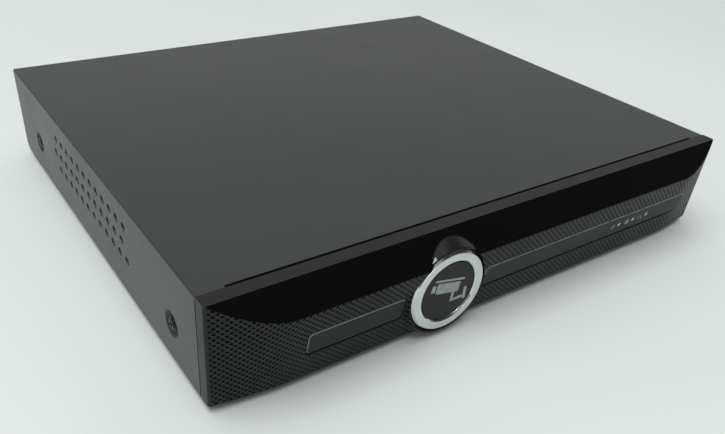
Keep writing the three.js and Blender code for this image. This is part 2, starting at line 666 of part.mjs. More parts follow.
const AUDIO = { x: fromBoardRight(AUDIO_OFFSET), width: 12, height: 24, barrel: 4.15 };
const HDMI = { x: fromBoardRight(HDMI_OFFSET), width: 15.2, height: 6.2 };
const ETHERNET = { x: fromBoardRight(ETHERNET_OFFSET), width: 16, height: 13.4 };
const USB = { x: fromBoardRight(USB_OFFSET), width: 14.4, height: 15.8 };
const DC = { x: fromBoardRight(DC_OFFSET), width: 9.4, height: 11 };
const VGA = {
  x: fromBoardRight(VGA_OFFSET),
  z: SOCKET_BASE + 6.5,
  mouth: [17.4, 8.6],
  postSpan: 12.5,
  post: 2.6,
};
const BNC = {
  xs: Array.from({ length: BNC_COUNT }, (_, i) => fromBoardRight(BNC_FIRST + i * BNC_PITCH)),
  z: SOCKET_BASE + 7.5,
  neck: 5.9,
  barrel: 4.85,
  reach: 11, // beyond the rear panel
};
const SWITCH_BODY = [ROCKER_WIDTH, 2 * ROCKER_RADIUS].map((size) => size + 2 * (GAP + SWITCH_WALL));
const SWITCH = {
  x: fromBoardRight(SWITCH_OFFSET),
  z: (FLOOR + TOP) / 2,
  body: SWITCH_BODY,
  frame: SWITCH_BODY.map((size) => size + 2 * SWITCH_RIM),
};
const SOCKET_FACE = PANEL_FACE + 1.4; // faces of the square sockets

function makeVideoSockets() {
  const back = PANEL_BACK - GAP;
  const edge = BNC_PITCH / 2;
  const span = [BNC.xs[BNC_COUNT - 1] - edge, BNC.xs[0] + edge];
  let housing = box(span, [back - 16, back], [SOCKET_BASE, BNC.z + 7.5]);
  for (const x of BNC.xs) {
    housing = housing.subtract(rod([x, back - 8, BNC.z], [x, back + 1, BNC.z], BNC.neck + GAP, SIDES));
  }
  addPiece('bnc_housing', housing, 'blackPlastic');

  const tail = back - 8 + GAP - PANEL_FACE;
  const barrel = turned(
    [
      [0, tail],
      [BNC.neck, tail],
      [BNC.neck, 2.4],
      [BNC.barrel, 2.8],
      [BNC.barrel, BNC.reach],
      [BNC.barrel - 0.75, BNC.reach],
      [BNC.barrel - 0.75, 3.2],
      [2.3, 3.2],
      [2.3, BNC.reach - 1.6],
      [0.7, BNC.reach - 1.6],
      [0.7, BNC.reach - 5],
      [0, BNC.reach - 5],
    ],
    SIDES,
  );
  const nut = rod([0, 0, GAP], [0, 0, 2.4], 7.6, 6);
  const lugs = [-1, 1].map((side) => [side * (BNC.barrel + 1), 0, BNC.reach - 3]);
  const lug = rod(...lugs, 0.95, SMALL_SIDES);
  const bore = rod([0, 0, 3.2], [0, 0, BNC.reach + 1], BNC.barrel - 0.4, SMALL_SIDES);
  const socket = barrel.add(nut).add(lug.subtract(bore));
  BNC.xs.forEach((x, i) => {
    const placed = { at: [x, PANEL_FACE, BNC.z], facing: [0, 1, 0] };
    addPiece(`bnc_socket_${i + 1}`, socket, 'nickel', placed);
  });
}

function makeAudioSocket() {
  const zs = [SOCKET_BASE + 6, SOCKET_BASE + 18];
  let housing = box(
    [AUDIO.x - AUDIO.width / 2, AUDIO.x + AUDIO.width / 2],
    [PANEL_BACK - 12, SOCKET_FACE],
    [SOCKET_BASE, SOCKET_BASE + AUDIO.height],
  );
  for (const z of zs) {
    const bore = [[AUDIO.x, SOCKET_FACE - 6, z], [AUDIO.x, SOCKET_FACE + 1, z]];
    housing = housing.subtract(rod(...bore, 3 + GAP, SMALL_SIDES));
  }
  addPiece('audio_housing', housing, 'blackPlastic');
  const reach = 8.5;
  const barrel = turned(
    [
      [0, -5],
      [3, -5],
      [3, GAP],
      [AUDIO.barrel, GAP],
      [AUDIO.barrel, reach],
      [AUDIO.barrel - 0.5, reach],
      [AUDIO.barrel - 0.7, reach - 1.2],
      [1.7, reach - 1.2],
      [1.7, 1],
      [0, 1],
    ],
    SIDES,
  );
  ['in', 'out'].forEach((label, i) => {
    const placed = { at: [AUDIO.x, SOCKET_FACE, zs[i]], facing: [0, 1, 0] };
    addPiece(`audio_socket_${label}`, barrel, i ? 'redInsert' : 'whiteInsert', placed);
  });
}

/** A shell with one mouth for each height, and a contact tongue in each. */
function makeTongueSocket(name, socket, mouths, finish) {
  const { x, width, height } = socket;
  const depth = [SOCKET_FACE - 14, SOCKET_FACE];
  let shell = box([x - width / 2, x + width / 2], depth, [SOCKET_BASE, SOCKET_BASE + height]);
  for (const { z, size, cut, tongue, tongueShift } of mouths) {
    const mouth = cutRectangle(...size, [x, SOCKET_BASE + z], cut);
    shell = shell.subtract(prism(mouth, 'y', SOCKET_FACE - 10, SOCKET_FACE + 1));
    const blade = cutRectangle(...tongue, [x, SOCKET_BASE + z + tongueShift]);
    shell = shell.add(prism(blade, 'y', SOCKET_FACE - 11, SOCKET_FACE - 1.2));
  }
  addPiece(name, shell, finish);
}

function makeEthernetSocket() {
  const { x, width, height } = ETHERNET;
  const depth = [PANEL_BACK - 14, SOCKET_FACE];
  let shell = box([x - width / 2, x + width / 2], depth, [SOCKET_BASE, SOCKET_BASE + height]);
  const mouth = [
    [x - 6, SOCKET_BASE + 1.4],
    [x + 6, SOCKET_BASE + 1.4],
    [x + 6, SOCKET_BASE + 8.4],
    [x + 3.2, SOCKET_BASE + 8.4],
    [x + 3.2, SOCKET_BASE + 10.2],
    [x + 1.7, SOCKET_BASE + 10.2],
    [x + 1.7, SOCKET_BASE + 11.6],
    [x - 1.7, SOCKET_BASE + 11.6],
    [x - 1.7, SOCKET_BASE + 10.2],
    [x - 3.2, SOCKET_BASE + 10.2],
    [x - 3.2, SOCKET_BASE + 8.4],
    [x - 6, SOCKET_BASE + 8.4],
  ];
  shell = shell.subtract(prism(mouth, 'y', SOCKET_FACE - 12, SOCKET_FACE + 1));
  for (let i = 0; i < 8; i += 1) {
    const at = x - 3.57 + i * 1.02;
    const wire = [[SOCKET_FACE - 12.2, SOCKET_BASE + 1.2], [SOCKET_FACE - 2, SOCKET_BASE + 1.2],
      [SOCKET_FACE - 2, SOCKET_BASE + 1.8], [SOCKET_FACE - 12.2, SOCKET_BASE + 3.6]];
    shell = shell.add(prism(wire, 'x', at - 0.2, at + 0.2));
  }
  addPiece('ethernet_socket', shell, 'nickel');
}

/** The D shape of the monitor socket, wider at the top, shrunk by inset. */
function dOutline(inset) {
  const [width, height] = VGA.mouth;
  const [top, low] = [width / 2 - inset, width / 2 - 1.5 - inset];
  const [up, down] = [VGA.z + height / 2 - inset, VGA.z - height / 2 + inset];
  const points = [[-low, down], [low, down], [top, up - 1.6], [top - 1.6, up],
    [1.6 - top, up], [-top, up - 1.6]];
  return points.map(([x, z]) => [VGA.x + x, z]);
}

function makeMonitorSocket() {
  const flangeFace = PANEL_BACK - GAP;
  const flange = [flangeFace - 1.2, flangeFace];
  const mouthFace = PANEL_FACE + 5;
  let shell = box([VGA.x - 15.4, VGA.x + 15.4], flange, [SOCKET_BASE, SOCKET_BASE + 13]);
  shell = shell.add(box([VGA.x - 15, VGA.x + 15], [flange[0] - 9, flange[0] + 0.5], [
    SOCKET_BASE,
    SOCKET_BASE + 11,
  ]));
  shell = shell.add(prism(dOutline(0), 'y', flange[0], mouthFace));
  shell = shell.subtract(prism(dOutline(0.6), 'y', flange[0] - 2, mouthFace + 1));
  for (const side of [-1, 1]) {
    const at = VGA.x + side * VGA.postSpan;
    const post = rod([at, flange[0], VGA.z], [at, mouthFace - 1.5, VGA.z], VGA.post, 6);
    const thread = rod([at, mouthFace - 4, VGA.z], [at, mouthFace, VGA.z], 1.4, SMALL_SIDES);
    shell = shell.add(post).subtract(thread);
  }
  addPiece('vga_shell', shell, 'nickel');
  let insert = prism(dOutline(0.6 + GAP), 'y', flange[0] - 2 + GAP, mouthFace - 0.4);
  for (let row = 0; row < 3; row += 1) {
    for (let column = 0; column < 5; column += 1) {
      const x = VGA.x - 4.6 + column * 2.29 - (row === 1 ? 0.6 : 0);
      const z = VGA.z + 1.98 - row * 1.98;
      insert = insert.subtract(rod([x, mouthFace - 3, z], [x, mouthFace + 1, z], 0.45, 6));
    }
  }
  addPiece('vga_insert', insert, 'blueInsert');
}

function makePowerSocket() {
  const { x, width, height } = DC;
  const z = SOCKET_BASE + height / 2;
  const depth = [PANEL_BACK - 13, SOCKET_FACE];
  let body = box([x - width / 2, x + width / 2], depth, [SOCKET_BASE, SOCKET_BASE + height]);
  body = body.subtract(rod([x, SOCKET_FACE - 9, z], [x, SOCKET_FACE + 1, z], 3.15, SIDES));
  body = body.add(rod([x, SOCKET_FACE - 10, z], [x, SOCKET_FACE - 0.8, z], 1, SMALL_SIDES));
  addPiece('dc_socket', body, 'blackPlastic');
}

const PIVOT_Y = PANEL_FACE + 0.4;

/** The rocker's section about its pivot: [out of the panel, up]. Its ends are arcs on the pivot. */
function rockerOutline() {
  const arc = (from, to, steps) =>
    Array.from({ length: steps + 1 }, (_, i) => {
      const angle = THREE.MathUtils.degToRad(from + ((to - from) * i) / steps);
      return [ROCKER_RADIUS * Math.sin(angle), ROCKER_RADIUS * Math.cos(angle)];
    });
  const crest = ROCKER_RADIUS * Math.sin(THREE.MathUtils.degToRad(38));
  const dip = crest - ROCKER_RADIUS * Math.cos(THREE.MathUtils.degToRad(38)) * Math.tan(ROCKER_TILT);
  return [...arc(-15, 38, 6), [dip, 0], ...arc(142, 195, 6)];
}

function makeSwitch() {
  const { x, z, body, frame } = SWITCH;
  const face = PANEL_FACE + GAP + 1.3;
  let housing = prism(cutRectangle(...frame, [x, z], 1), 'y', PANEL_FACE + GAP, face);
  housing = housing.add(prism(cutRectangle(...body, [x, z]), 'y', PANEL_BACK - 11, face - 0.5));
  const well = cutRectangle(ROCKER_WIDTH + 2 * GAP, 2 * (ROCKER_RADIUS + GAP), [x, z]);
  housing = housing.subtract(prism(well, 'y', PIVOT_Y - 4, face + 1));
  for (const side of [-1, 1]) {
    const blade = [z + side * 3 - 0.4, z + side * 3 + 0.4];
    housing = housing.add(box([x - 2.4, x + 2.4], [PANEL_BACK - 18, PANEL_BACK - 10], blade));
  }
  addPiece('switch_housing', housing, 'blackPlastic');
  const rocker = prism(rockerOutline(), 'x', -ROCKER_WIDTH / 2, ROCKER_WIDTH / 2);
  const piece = addPiece('power_rocker', rocker, 'satinBlack', { at: [x, PIVOT_Y, z] });
  piece.rotation.x = ROCKER_TILT;
}

// ------------------------------------------------------------------ disk

const DISK = {
  spindle: [-23.5, 0],
  pivot: [38, -14],
  parked: THREE.MathUtils.degToRad(117.3),
  deck: 8, // floor of the casting's well
  platter: 14,
};
const diskPlace = { at: [...DISK_CENTRE, DISK_UNDER] };

function makeDiskCasting() {
  const top = DISK_HEIGHT - SHEET - GAP;
  const [sx, sy] = DISK.spindle;
  const half = [DISK_LENGTH / 2, DISK_WIDTH / 2];
  let base = prism(cutRectangle(DISK_LENGTH, DISK_WIDTH, [0, 0], 2), 'z', 0, top);
  base = base.subtract(rod([sx, sy, DISK.deck], [sx, sy, top + 1], PLATTER_RADIUS + 0.8, FINE_SIDES));
  base = base.subtract(box([8, 66], [-44, 39], [DISK.deck, top + 1]));
  base = base.subtract(box([-2, half[0] + 1], [-43, 43], [-1, 2.6]));
  base = base.subtract(box([half[0] - 8, half[0] + 1], [-24, 24], [-1, 8.2 - GAP]));
  for (const [x, y] of DISK_HOLES) {
    const at = [x - DISK_CENTRE[0], y - DISK_CENTRE[1]];
    base = base.subtract(rod([...at, -1], [...at, 6], SCREW_SHANK + GAP, SMALL_SIDES));
  }
  addPiece('disk_casting', base, 'castAluminium', diskPlace);
  const lidOutline = cutRectangle(DISK_LENGTH - 2, DISK_WIDTH - 2, [0, 0], 3);
  const lid = prism(lidOutline, 'z', top + GAP, DISK_HEIGHT);
  addPiece('disk_lid', lid, 'platedSteel', diskPlace);
  let board = box([0, half[0] - 1], [-42, 42], [0.7, 1.9]);
  board = board.add(box([half[0] - 7, half[0] - 0.5], [-22, 22], [0.7, 6.5]));
  board = board.subtract(box([half[0] - 5, half[0]], [-20, 6], [2.6, 5.2]));
  board = board.subtract(box([half[0] - 5, half[0]], [9, 20], [2.6, 5.2]));
  addPiece('disk_board', board, 'greenBoard', diskPlace);
}

function makeDiskDrive() {
  const [sx, sy] = DISK.spindle;
  const z0 = DISK.platter;
  const z1 = z0 + PLATTER_THICKNESS;
  const ring = [[PLATTER_BORE, z0], [PLATTER_RADIUS, z0], [PLATTER_RADIUS, z1], [PLATTER_BORE, z1]];
  const platter = turned([...ring, ring[0]], FINE_SIDES);
  const spindle = { at: [DISK_CENTRE[0] + sx, DISK_CENTRE[1] + sy, DISK_UNDER] };
  addPiece('disk_platter', platter, 'mirrorDisk', spindle);
  const hub = turned(
    [
      [0, DISK.deck + GAP],
      [11, DISK.deck + GAP],
      [11, z0 - 1.6],
      [15, z0 - 1.6],
      [15, z0 - GAP],
      [PLATTER_BORE - GAP, z0 - GAP],
      [PLATTER_BORE - GAP, z1 + GAP],
      [15.5, z1 + GAP],
      [15.5, z1 + 1.3],
      [0, z1 + 1.3],
    ],
    SIDES,
  );
  addPiece('spindle_hub', hub, 'castAluminium', spindle);

  const armLow = z1 + 1.4;
  let arm = turned([[0, DISK.deck + GAP], [7, DISK.deck + GAP], [7, armLow + 4], [0, armLow + 4]], SIDES);
  const finger = [[0, -5], [ARM_LENGTH - 8, -1.6], [ARM_LENGTH, -1], [ARM_LENGTH, 1],
    [ARM_LENGTH - 8, 1.6], [0, 5]];
  arm = arm.add(prism(finger, 'z', armLow, armLow + 1.2));
  arm = arm.add(box([ARM_LENGTH - 1.8, ARM_LENGTH - 0.2], [-0.6, 0.6], [armLow - 0.7, armLow + 0.2]));
  const coil = [[0, -4], [-18, -8], [-20, 0], [-18, 8], [0, 4]];
  arm = arm.add(prism(coil, 'z', DISK.deck + 4, DISK.deck + 6.5));
  const [px, py] = DISK.pivot;
  addPiece('actuator_arm', arm, 'castAluminium', {
    at: [DISK_CENTRE[0] + px, DISK_CENTRE[1] + py, DISK_UNDER],
    spin: DISK.parked,
  });

  const plate = [[8.8, -11], [24, -11], [24, 17], [8.8, 17]];
  const spin = DISK.parked + Math.PI;
  let yoke = prism(plate, 'z', DISK.deck + GAP, DISK.deck + 2.6);
  yoke = yoke.add(prism(plate, 'z', DISK.deck + 8, DISK.deck + 10.4));
  yoke = yoke.add(box([21.6, 24], [-11, 17], [DISK.deck + 1, DISK.deck + 9]));
  yoke = yoke.subtract(rod([0, 0, 0], [0, 0, 20], 8.8, SIDES));
  addPiece('magnet_yoke', yoke, 'platedSteel', {
    at: [DISK_CENTRE[0] + px, DISK_CENTRE[1] + py, DISK_UNDER],
    spin,
  });
}

function makeDiskScrews() {
  DISK_HOLES.forEach(([x, y], i) => {
    const at = [x, y, FLOOR + DISK_RAISE - GAP];
    addPiece(`disk_screw_${i + 1}`, screwSolid(), 'platedSteel', { at, facing: [0, 0, -1], spin: i });
  });
}

// ------------------------------------------------------------------ main board and its parts

const HEADER_Y = BOARD_FRONT + 7; // headers' rear edge, along the board's front
const DATA_X = BOARD_LEFT + 122;
const POWER_X = BOARD_LEFT + 138;
const HEADER_Z = BOARD_TOP + 4;
const PROCESSOR = [BOARD_LEFT + 92, BOARD_FRONT + 38];

function makeMainBoard() {
  let board = box([BOARD_LEFT, BOARD_RIGHT], [BOARD_FRONT, BOARD_REAR], [BOARD_UNDER, BOARD_TOP]);
  const onBoard = (x, y, width, depth, height) => {
    const sides = [[x - width / 2, x + width / 2], [y - depth / 2, y + depth / 2]];
    return box(...sides, [BOARD_TOP - 0.2, BOARD_TOP + height]);
  };
  for (const [x, width] of [[DATA_X, 10], [POWER_X, 10], [RIBBON_X, RIBBON_WIDTH + 4]]) {
    board = board.add(onBoard(x, HEADER_Y - 3, width, 5, 8));
  }
  for (let i = 0; i < 4; i += 1) {
    board = board.add(onBoard(PROCESSOR[0] - 36, PROCESSOR[1] - 24 + i * 14, 9, 11, 1.1));
  }
  for (let i = 0; i < 3; i += 1) {
    const x = BOARD_LEFT + 16 + i * 12;
    const y = BOARD_FRONT + 48;
    board = board.add(rod([x, y, BOARD_TOP - 0.2], [x, y, BOARD_TOP + 11], 4, SMALL_SIDES));
  }
  for (const [x, y] of BOARD_HOLES) {
    const ends = [[x, y, BOARD_UNDER - 1], [x, y, BOARD_TOP + 1]];
    board = board.subtract(rod(...ends, SCREW_SHANK + GAP, SMALL_SIDES));
  }
  addPiece('main_board', board, 'greenBoard');
  BOARD_HOLES.forEach(([x, y], i) => {
    const at = [x, y, BOARD_TOP + GAP];
    addPiece(`board_screw_${i + 1}`, screwSolid(4.5), 'platedSteel', { at, spin: 0.5 * i });
  });
}

function makeBoardParts() {
  const [px, py] = PROCESSOR;
  const chipTop = SOCKET_BASE + 1.8;
  const chip = box([px - 12, px + 12], [py - 12, py + 12], [SOCKET_BASE, chipTop]);
  addPiece('processor', chip, 'satinBlack');
  const side = 18;
  let sink = box([px - side, px + side], [py - side, py + side], [chipTop + GAP, chipTop + 3]);
  for (let i = 0; i < 8; i += 1) {
    const x = px - side + (i * (2 * side - 1.2)) / 7;
    sink = sink.add(box([x, x + 1.2], [py - side, py + side], [chipTop + 2, chipTop + 14]));
  }
  addPiece('heat_sink', sink, 'castAluminium');

  const [bx, by] = [BOARD_RIGHT - 32, BOARD_FRONT + 44];
  const cellRadius = 10;
  let holder = rod([bx, by, SOCKET_BASE], [bx, by, SOCKET_BASE + 5], cellRadius + 2, SIDES);
  const pocket = [[bx, by, SOCKET_BASE + 1], [bx, by, SOCKET_BASE + 6]];
  holder = holder.subtract(rod(...pocket, cellRadius + GAP, SIDES));
  addPiece('battery_holder', holder, 'blackPlastic');
  const low = SOCKET_BASE + 1 + GAP;
  addPiece('coin_cell', rod([bx, by, low], [bx, by, low + 3.2], cellRadius, SIDES), 'nickel');

  const buzzer = turned([[0, 0], [6, 0], [6, 8], [1.2, 8], [1.2, 6], [0, 6]], SIDES);
  addPiece('buzzer', buzzer, 'blackPlastic', { at: [BOARD_LEFT + 14, BOARD_FRONT + 24, SOCKET_BASE] });
}

// ------------------------------------------------------------------ leads inside the case

/** A round lead through points, with a plug block at its far end and one at its near end. */
function leadSolid(points, radius, steps) {
  const path = new THREE.CatmullRomCurve3(points.map((p) => new THREE.Vector3(...p)));
  const ring = new THREE.Shape().absarc(0, 0, radius, 0, Math.PI * 2, false);
  const options = { extrudePath: path, steps, curveSegments: 4, bevelEnabled: false };
  return solidOf(new THREE.ExtrudeGeometry(ring, options));
}

function makeLeads() {
  const diskEnd = DISK_CENTRE[0] + DISK_LENGTH / 2;
  const plugZ = DISK_UNDER + 4;
  const boardPlugY = [HEADER_Y - 18, HEADER_Y - 5.5 - GAP];
  const dataY = DISK_CENTRE[1] + 14.5;
  const powerY = DISK_CENTRE[1] - 7;
  const routeFront = HEADER_Y - 16;
  const diskPlug = (y, half) =>
    box([diskEnd + GAP, diskEnd + 9], [y - half, y + half], [plugZ - 2.5, plugZ + 5.5]);
  const boardPlug = (x) => box([x - 5, x + 5], boardPlugY, [HEADER_Z - 3.5, HEADER_Z + 3.5]);

  const dataRoute = [[diskEnd + 8, dataY], [diskEnd + 12, dataY + 1], [DATA_X - 2, dataY + 10],
    [DATA_X, routeFront - 8], [DATA_X, routeFront]];
  let data = prism(strapOutline(dataRoute, 1.8), 'z', plugZ - 2, plugZ + 5);
  data = data.add(diskPlug(dataY, 6)).add(boardPlug(DATA_X));
  addPiece('sata_data_lead', data, 'cableRed');

  const powerRoute = [[diskEnd + 8, powerY, plugZ + 1.5], [diskEnd + 20, powerY + 2, plugZ + 2],
    [POWER_X - 3, powerY + 16, plugZ + 2.5], [POWER_X, routeFront - 8, HEADER_Z],
    [POWER_X, routeFront, HEADER_Z]];
  let power = leadSolid(powerRoute, 2.2, 26);
  power = power.add(diskPlug(powerY, 12)).add(boardPlug(POWER_X));
  addPiece('sata_power_lead', power, 'blackPlastic');

  const boardBack = BEZEL_LIP - 2 + GAP;
  const low = TRAY_TOP + 3; // ribbon's long run beside the disk
  const ribbonRoute = [[boardBack, STRIP_Z], [TRAY_FRONT + 8, STRIP_Z - 1], [TRAY_FRONT + 22, low],
    [TRAY_FRONT + 30, low], [HEADER_Y - 48, low], [HEADER_Y - 40, low],
    [HEADER_Y - 20, HEADER_Z - 1], [HEADER_Y - 10, HEADER_Z]];
  const ribbonSpan = [RIBBON_X - RIBBON_WIDTH / 2, RIBBON_X + RIBBON_WIDTH / 2];
  let ribbon = prism(strapOutline(ribbonRoute, 1, 36), 'x', ...ribbonSpan);
  ribbon = ribbon.add(box(ribbonSpan, boardPlugY, [HEADER_Z - 3, HEADER_Z + 3]));
  addPiece('front_ribbon', ribbon, 'cableGrey');

  const { x, z } = SWITCH;
  const tabs = PANEL_BACK - 18 - GAP;
  const leadEnd = [BOARD_LEFT - GAP - 3, BOARD_REAR - 42, BOARD_TOP + 3];
  const middle = [x + 8, leadEnd[1] + 4, leadEnd[2] + 2];
  const switchRoute = [[x, tabs - 2, z], [x, tabs - 14, z - 1], middle, leadEnd];
  let lead = leadSolid(switchRoute, 1.8, 18);
  lead = lead.add(box([x - 3.4, x + 3.4], [tabs - 6, tabs], [z - 5, z + 5]));
  lead = lead.add(box([leadEnd[0] - 3, leadEnd[0] + 3], [leadEnd[1] - 4, leadEnd[1] + 4], [
    leadEnd[2] - 3,
    leadEnd[2] + 3,
  ]));
  addPiece('switch_lead', lead, 'blackPlastic');
}

// ------------------------------------------------------------------ assembly

makeCover();
makeCoverScrews();
makeBezel();
makeBadge();
makeStrips();
makeStatusLights();
makeTray();
makeFeet();
makeVideoSockets();
makeAudioSocket();
makeTongueSocket(
  'hdmi_socket',
  HDMI,
  [{ z: 3.1, size: [14, 4.7], cut: 1, tongue: [11.4, 1.3], tongueShift: 0.4 }],
  'nickel',
);
makeTongueSocket(
  'usb_socket',
  USB,
  [4, 11.8].map((z) => ({ z, size: [12.6, 5.2], cut: 0, tongue: [11.2, 1.9], tongueShift: 1 })),
  'nickel',
);
makeEthernetSocket();
makeMonitorSocket();
makePowerSocket();
makeSwitch();
makeDiskCasting();
makeDiskDrive();
makeDiskScrews();
makeMainBoard();
makeBoardParts();
makeLeads();

// The origin is under the middle of the whole recorder, boss and sockets included.
recorder.position.y = (Math.max(BEZEL_CREST, RING_FACE) - (PANEL_FACE + BNC.reach)) / 2;

export default recorder;
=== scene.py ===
"""Looks of a compact video recorder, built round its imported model.

Forms are drawn in millimetres in the model's own frame: x to the right, y to the rear, z up,
with the origin on the ground under the middle of the recorder. They become metres when a piece
is made of them.
"""

from __future__ import annotations

import logging
import math
from dataclasses import dataclass
from enum import Enum
from typing import Callable, Iterable, NamedTuple, Sequence

import bmesh
import bpy
from bpy.types import Material, Node, NodeSocket, NodeTree, Object
from mathutils import Matrix, Vector

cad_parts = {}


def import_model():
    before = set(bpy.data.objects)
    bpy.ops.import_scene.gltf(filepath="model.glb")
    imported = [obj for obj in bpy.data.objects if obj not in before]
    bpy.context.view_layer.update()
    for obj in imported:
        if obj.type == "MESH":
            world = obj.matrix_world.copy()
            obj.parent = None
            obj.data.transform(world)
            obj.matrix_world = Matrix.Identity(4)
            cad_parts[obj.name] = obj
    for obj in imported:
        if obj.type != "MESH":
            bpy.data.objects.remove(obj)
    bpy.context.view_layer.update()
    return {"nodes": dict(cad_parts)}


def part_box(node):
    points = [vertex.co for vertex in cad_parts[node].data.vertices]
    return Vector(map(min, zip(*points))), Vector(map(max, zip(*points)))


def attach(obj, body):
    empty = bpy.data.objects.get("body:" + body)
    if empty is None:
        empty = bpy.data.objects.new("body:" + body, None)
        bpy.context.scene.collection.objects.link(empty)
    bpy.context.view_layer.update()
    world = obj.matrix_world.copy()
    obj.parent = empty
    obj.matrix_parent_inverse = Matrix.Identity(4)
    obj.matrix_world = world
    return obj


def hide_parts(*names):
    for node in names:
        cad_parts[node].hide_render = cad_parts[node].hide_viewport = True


MM = 0.001
GAP = 0.3  # left between neighbouring pieces
SHEET = 1.0  # steel sheet of the cover and the tray

log = logging.getLogger("recorder")

Flat = tuple[float, float]


# ---- node helpers


def linear(colour: str) -> tuple[float, float, float, float]:
    """Turns an sRGB hex colour such as "8a9092" into linear light with full alpha.

    Args:
        colour: six hex digits.

    Returns:
        Red, green, blue and alpha.
    """
    channels = [int(colour[i : i + 2], 16) / 255 for i in (0, 2, 4)]
    light = [c / 12.92 if c <= 0.04045 else ((c + 0.055) / 1.055) ** 2.4 for c in channels]
    return (*light, 1.0)


def add_node(
    tree: NodeTree,
    kind: str,
    values: dict[str | int, object] | None = None,
    links: dict[str | int, NodeSocket] | None = None,
    **settings: object,
) -> Node:
    """Adds one node to a tree.

    Args:
        tree: the node tree that it joins.
        kind: Blender's name for the kind of node.
        values: what is set on its inputs, by name or number.
        links: the output sockets that feed its inputs, by name or number.
        settings: the node's own properties.

    Returns:
        The new node.
    """
    node = tree.nodes.new(kind)
    for key, value in settings.items():
        setattr(node, key, value)
    for key, value in (values or {}).items():
        node.inputs[key].default_value = value
    for key, socket in (links or {}).items():
        tree.links.new(socket, node.inputs[key])
    return node


# ---- finishes


class Weave(NamedTuple):
    """What a pattern adds to a finish: its own colour and height, each 0 to 1 over the surface."""

    mask: NodeSocket
    depth: float  # height in millimetres that a full mask takes away
    gloss: float = 1.0  # share of the surface's reflection that is left where the mask is full


@dataclass(frozen=True)
class Finish:
    """A surface, as the material it is and the way it was made.

    Attributes:
        colour: sRGB hex of the clean surface.
        drift: sRGB hex that it drifts to in soft patches.
        roughness: least and most, which the surface wanders between.
        grain: width in millimetres of the fine relief.
        relief: height in millimetres of the fine relief.
        patch: width in millimetres of the soft patches.
        metallic: 1 for bare metal.
        ior: refraction index of a plastic, paint or rubber; metals keep the default.
        coat: clear layer on top, 0 to 1.
        coat_roughness: roughness of that layer.
        pattern_colour: sRGB hex where the pattern, if it has one, is full.
    """

    colour: str
    drift: str
    roughness: Flat
    grain: float = 0.5
    relief: float = 0.004
    patch: float = 50.0
    metallic: float = 0.0
    ior: float = 1.5
    coat: float = 0.0
    coat_roughness: float = 0.03
    transmission: float = 0.0
    pattern_colour: str = ""

    def pattern(self, tree: NodeTree, place: NodeSocket) -> Weave | None:
        """Adds the nodes of the pattern that this finish has over its grain, if it has one."""
        return None

    def noise(self, tree: NodeTree, place: NodeSocket, width: float, detail: float) -> NodeSocket:
        """Adds noise whose lumps are as wide as given, in millimetres."""
        values = {"Scale": 1 / (width * MM), "Detail": detail, "Roughness": 0.55}
        return add_node(tree, "ShaderNodeTexNoise", values, {"Vector": place}).outputs["Fac"]

    def material(self) -> Material:
        """Makes the Blender material once, and gives the same one each time after.

        Returns:
            The material, named for this finish.
        """
        name = type(self).__name__
        made = bpy.data.materials.get(name)
        if made:
            return made
        made = bpy.data.materials.new(name)
        made.use_nodes = True
        tree = made.node_tree
        tree.nodes.clear()
        place = add_node(tree, "ShaderNodeTexCoord").outputs["Object"]
        patches = self.noise(tree, place, self.patch, 3)
        span = {"From Min": 0.35, "From Max": 0.65}
        blend = add_node(tree, "ShaderNodeMapRange", span, {"Value": patches}).outputs["Result"]
        colour = add_node(
            tree,
            "ShaderNodeMix",
            {6: linear(self.colour), 7: linear(self.drift)},
            {0: blend},
            data_type="RGBA",
        ).outputs[2]
        grain = self.noise(tree, place, self.grain, 2)
        height = grain
        weave = self.pattern(tree, place)
        # where the pattern is full the colour turns to pattern_colour: the finish's own pattern for
        # spangle and tracks, painted shade in dimple pits and ribbon grooves
        if weave:
            colour = add_node(
                tree,
                "ShaderNodeMix",
                {7: linear(self.pattern_colour or self.drift)},
                {0: weave.mask, 6: colour},
                data_type="RGBA",
            ).outputs[2]
            height = add_node(
                tree,
                "ShaderNodeMath",
                {1: -weave.depth / self.relief},
                {0: weave.mask, 2: grain},
                operation="MULTIPLY_ADD",
            ).outputs[0]
        smear = self.noise(tree, place, self.patch * 0.37, 4)
        least, most = self.roughness
        span = {"From Min": 0.3, "From Max": 0.7, "To Min": least, "To Max": most}
        rough = add_node(tree, "ShaderNodeMapRange", span, {"Value": smear}).outputs["Result"]
        raised = {"Strength": 1.0, "Distance": self.relief * MM}
        bump = add_node(tree, "ShaderNodeBump", raised, {"Height": height}).outputs["Normal"]
        values: dict[str | int, object] = {"Metallic": self.metallic}
        if self.metallic < 0.5:
            values["IOR"] = self.ior
        if self.coat:
            values |= {"Coat Weight": self.coat, "Coat Roughness": self.coat_roughness}
        if self.transmission:
            values["Transmission Weight"] = self.transmission
        links = {"Base Color": colour, "Roughness": rough, "Normal": bump}
        # less reflection where the mask is full: painted shade in the dimple pits
        if weave and weave.gloss < 1:
            span = {"To Min": 0.5, "To Max": 0.5 * weave.gloss}
            dulled = add_node(tree, "ShaderNodeMapRange", span, {"Value": weave.mask})
            links["Specular IOR Level"] = dulled.outputs["Result"]
        shader = add_node(tree, "ShaderNodeBsdfPrincipled", values, links)
        add_node(tree, "ShaderNodeOutputMaterial", {}, {"Surface": shader.outputs[0]})
        return made


@dataclass(frozen=True)
class PowderCoatedSteel(Finish):
    """Black powder coat baked on steel sheet: a soft sheen broken by a fine orange peel."""

    colour: str = "1a201f"
    drift: str = "1c2221"
    roughness: Flat = (0.36, 0.40)
    grain: float = 0.8
    relief: float = 0.022
    patch: float = 70.0
    ior: float = 1.58


@dataclass(frozen=True)
class SatinAbs(Finish):
    """ABS moulded in a blasted mould: an even dark satin with soft smudges."""

    colour: str = "0a0c0d"
    drift: str = "0d0f10"
    roughness: Flat = (0.38, 0.44)
    ior: float = 1.38


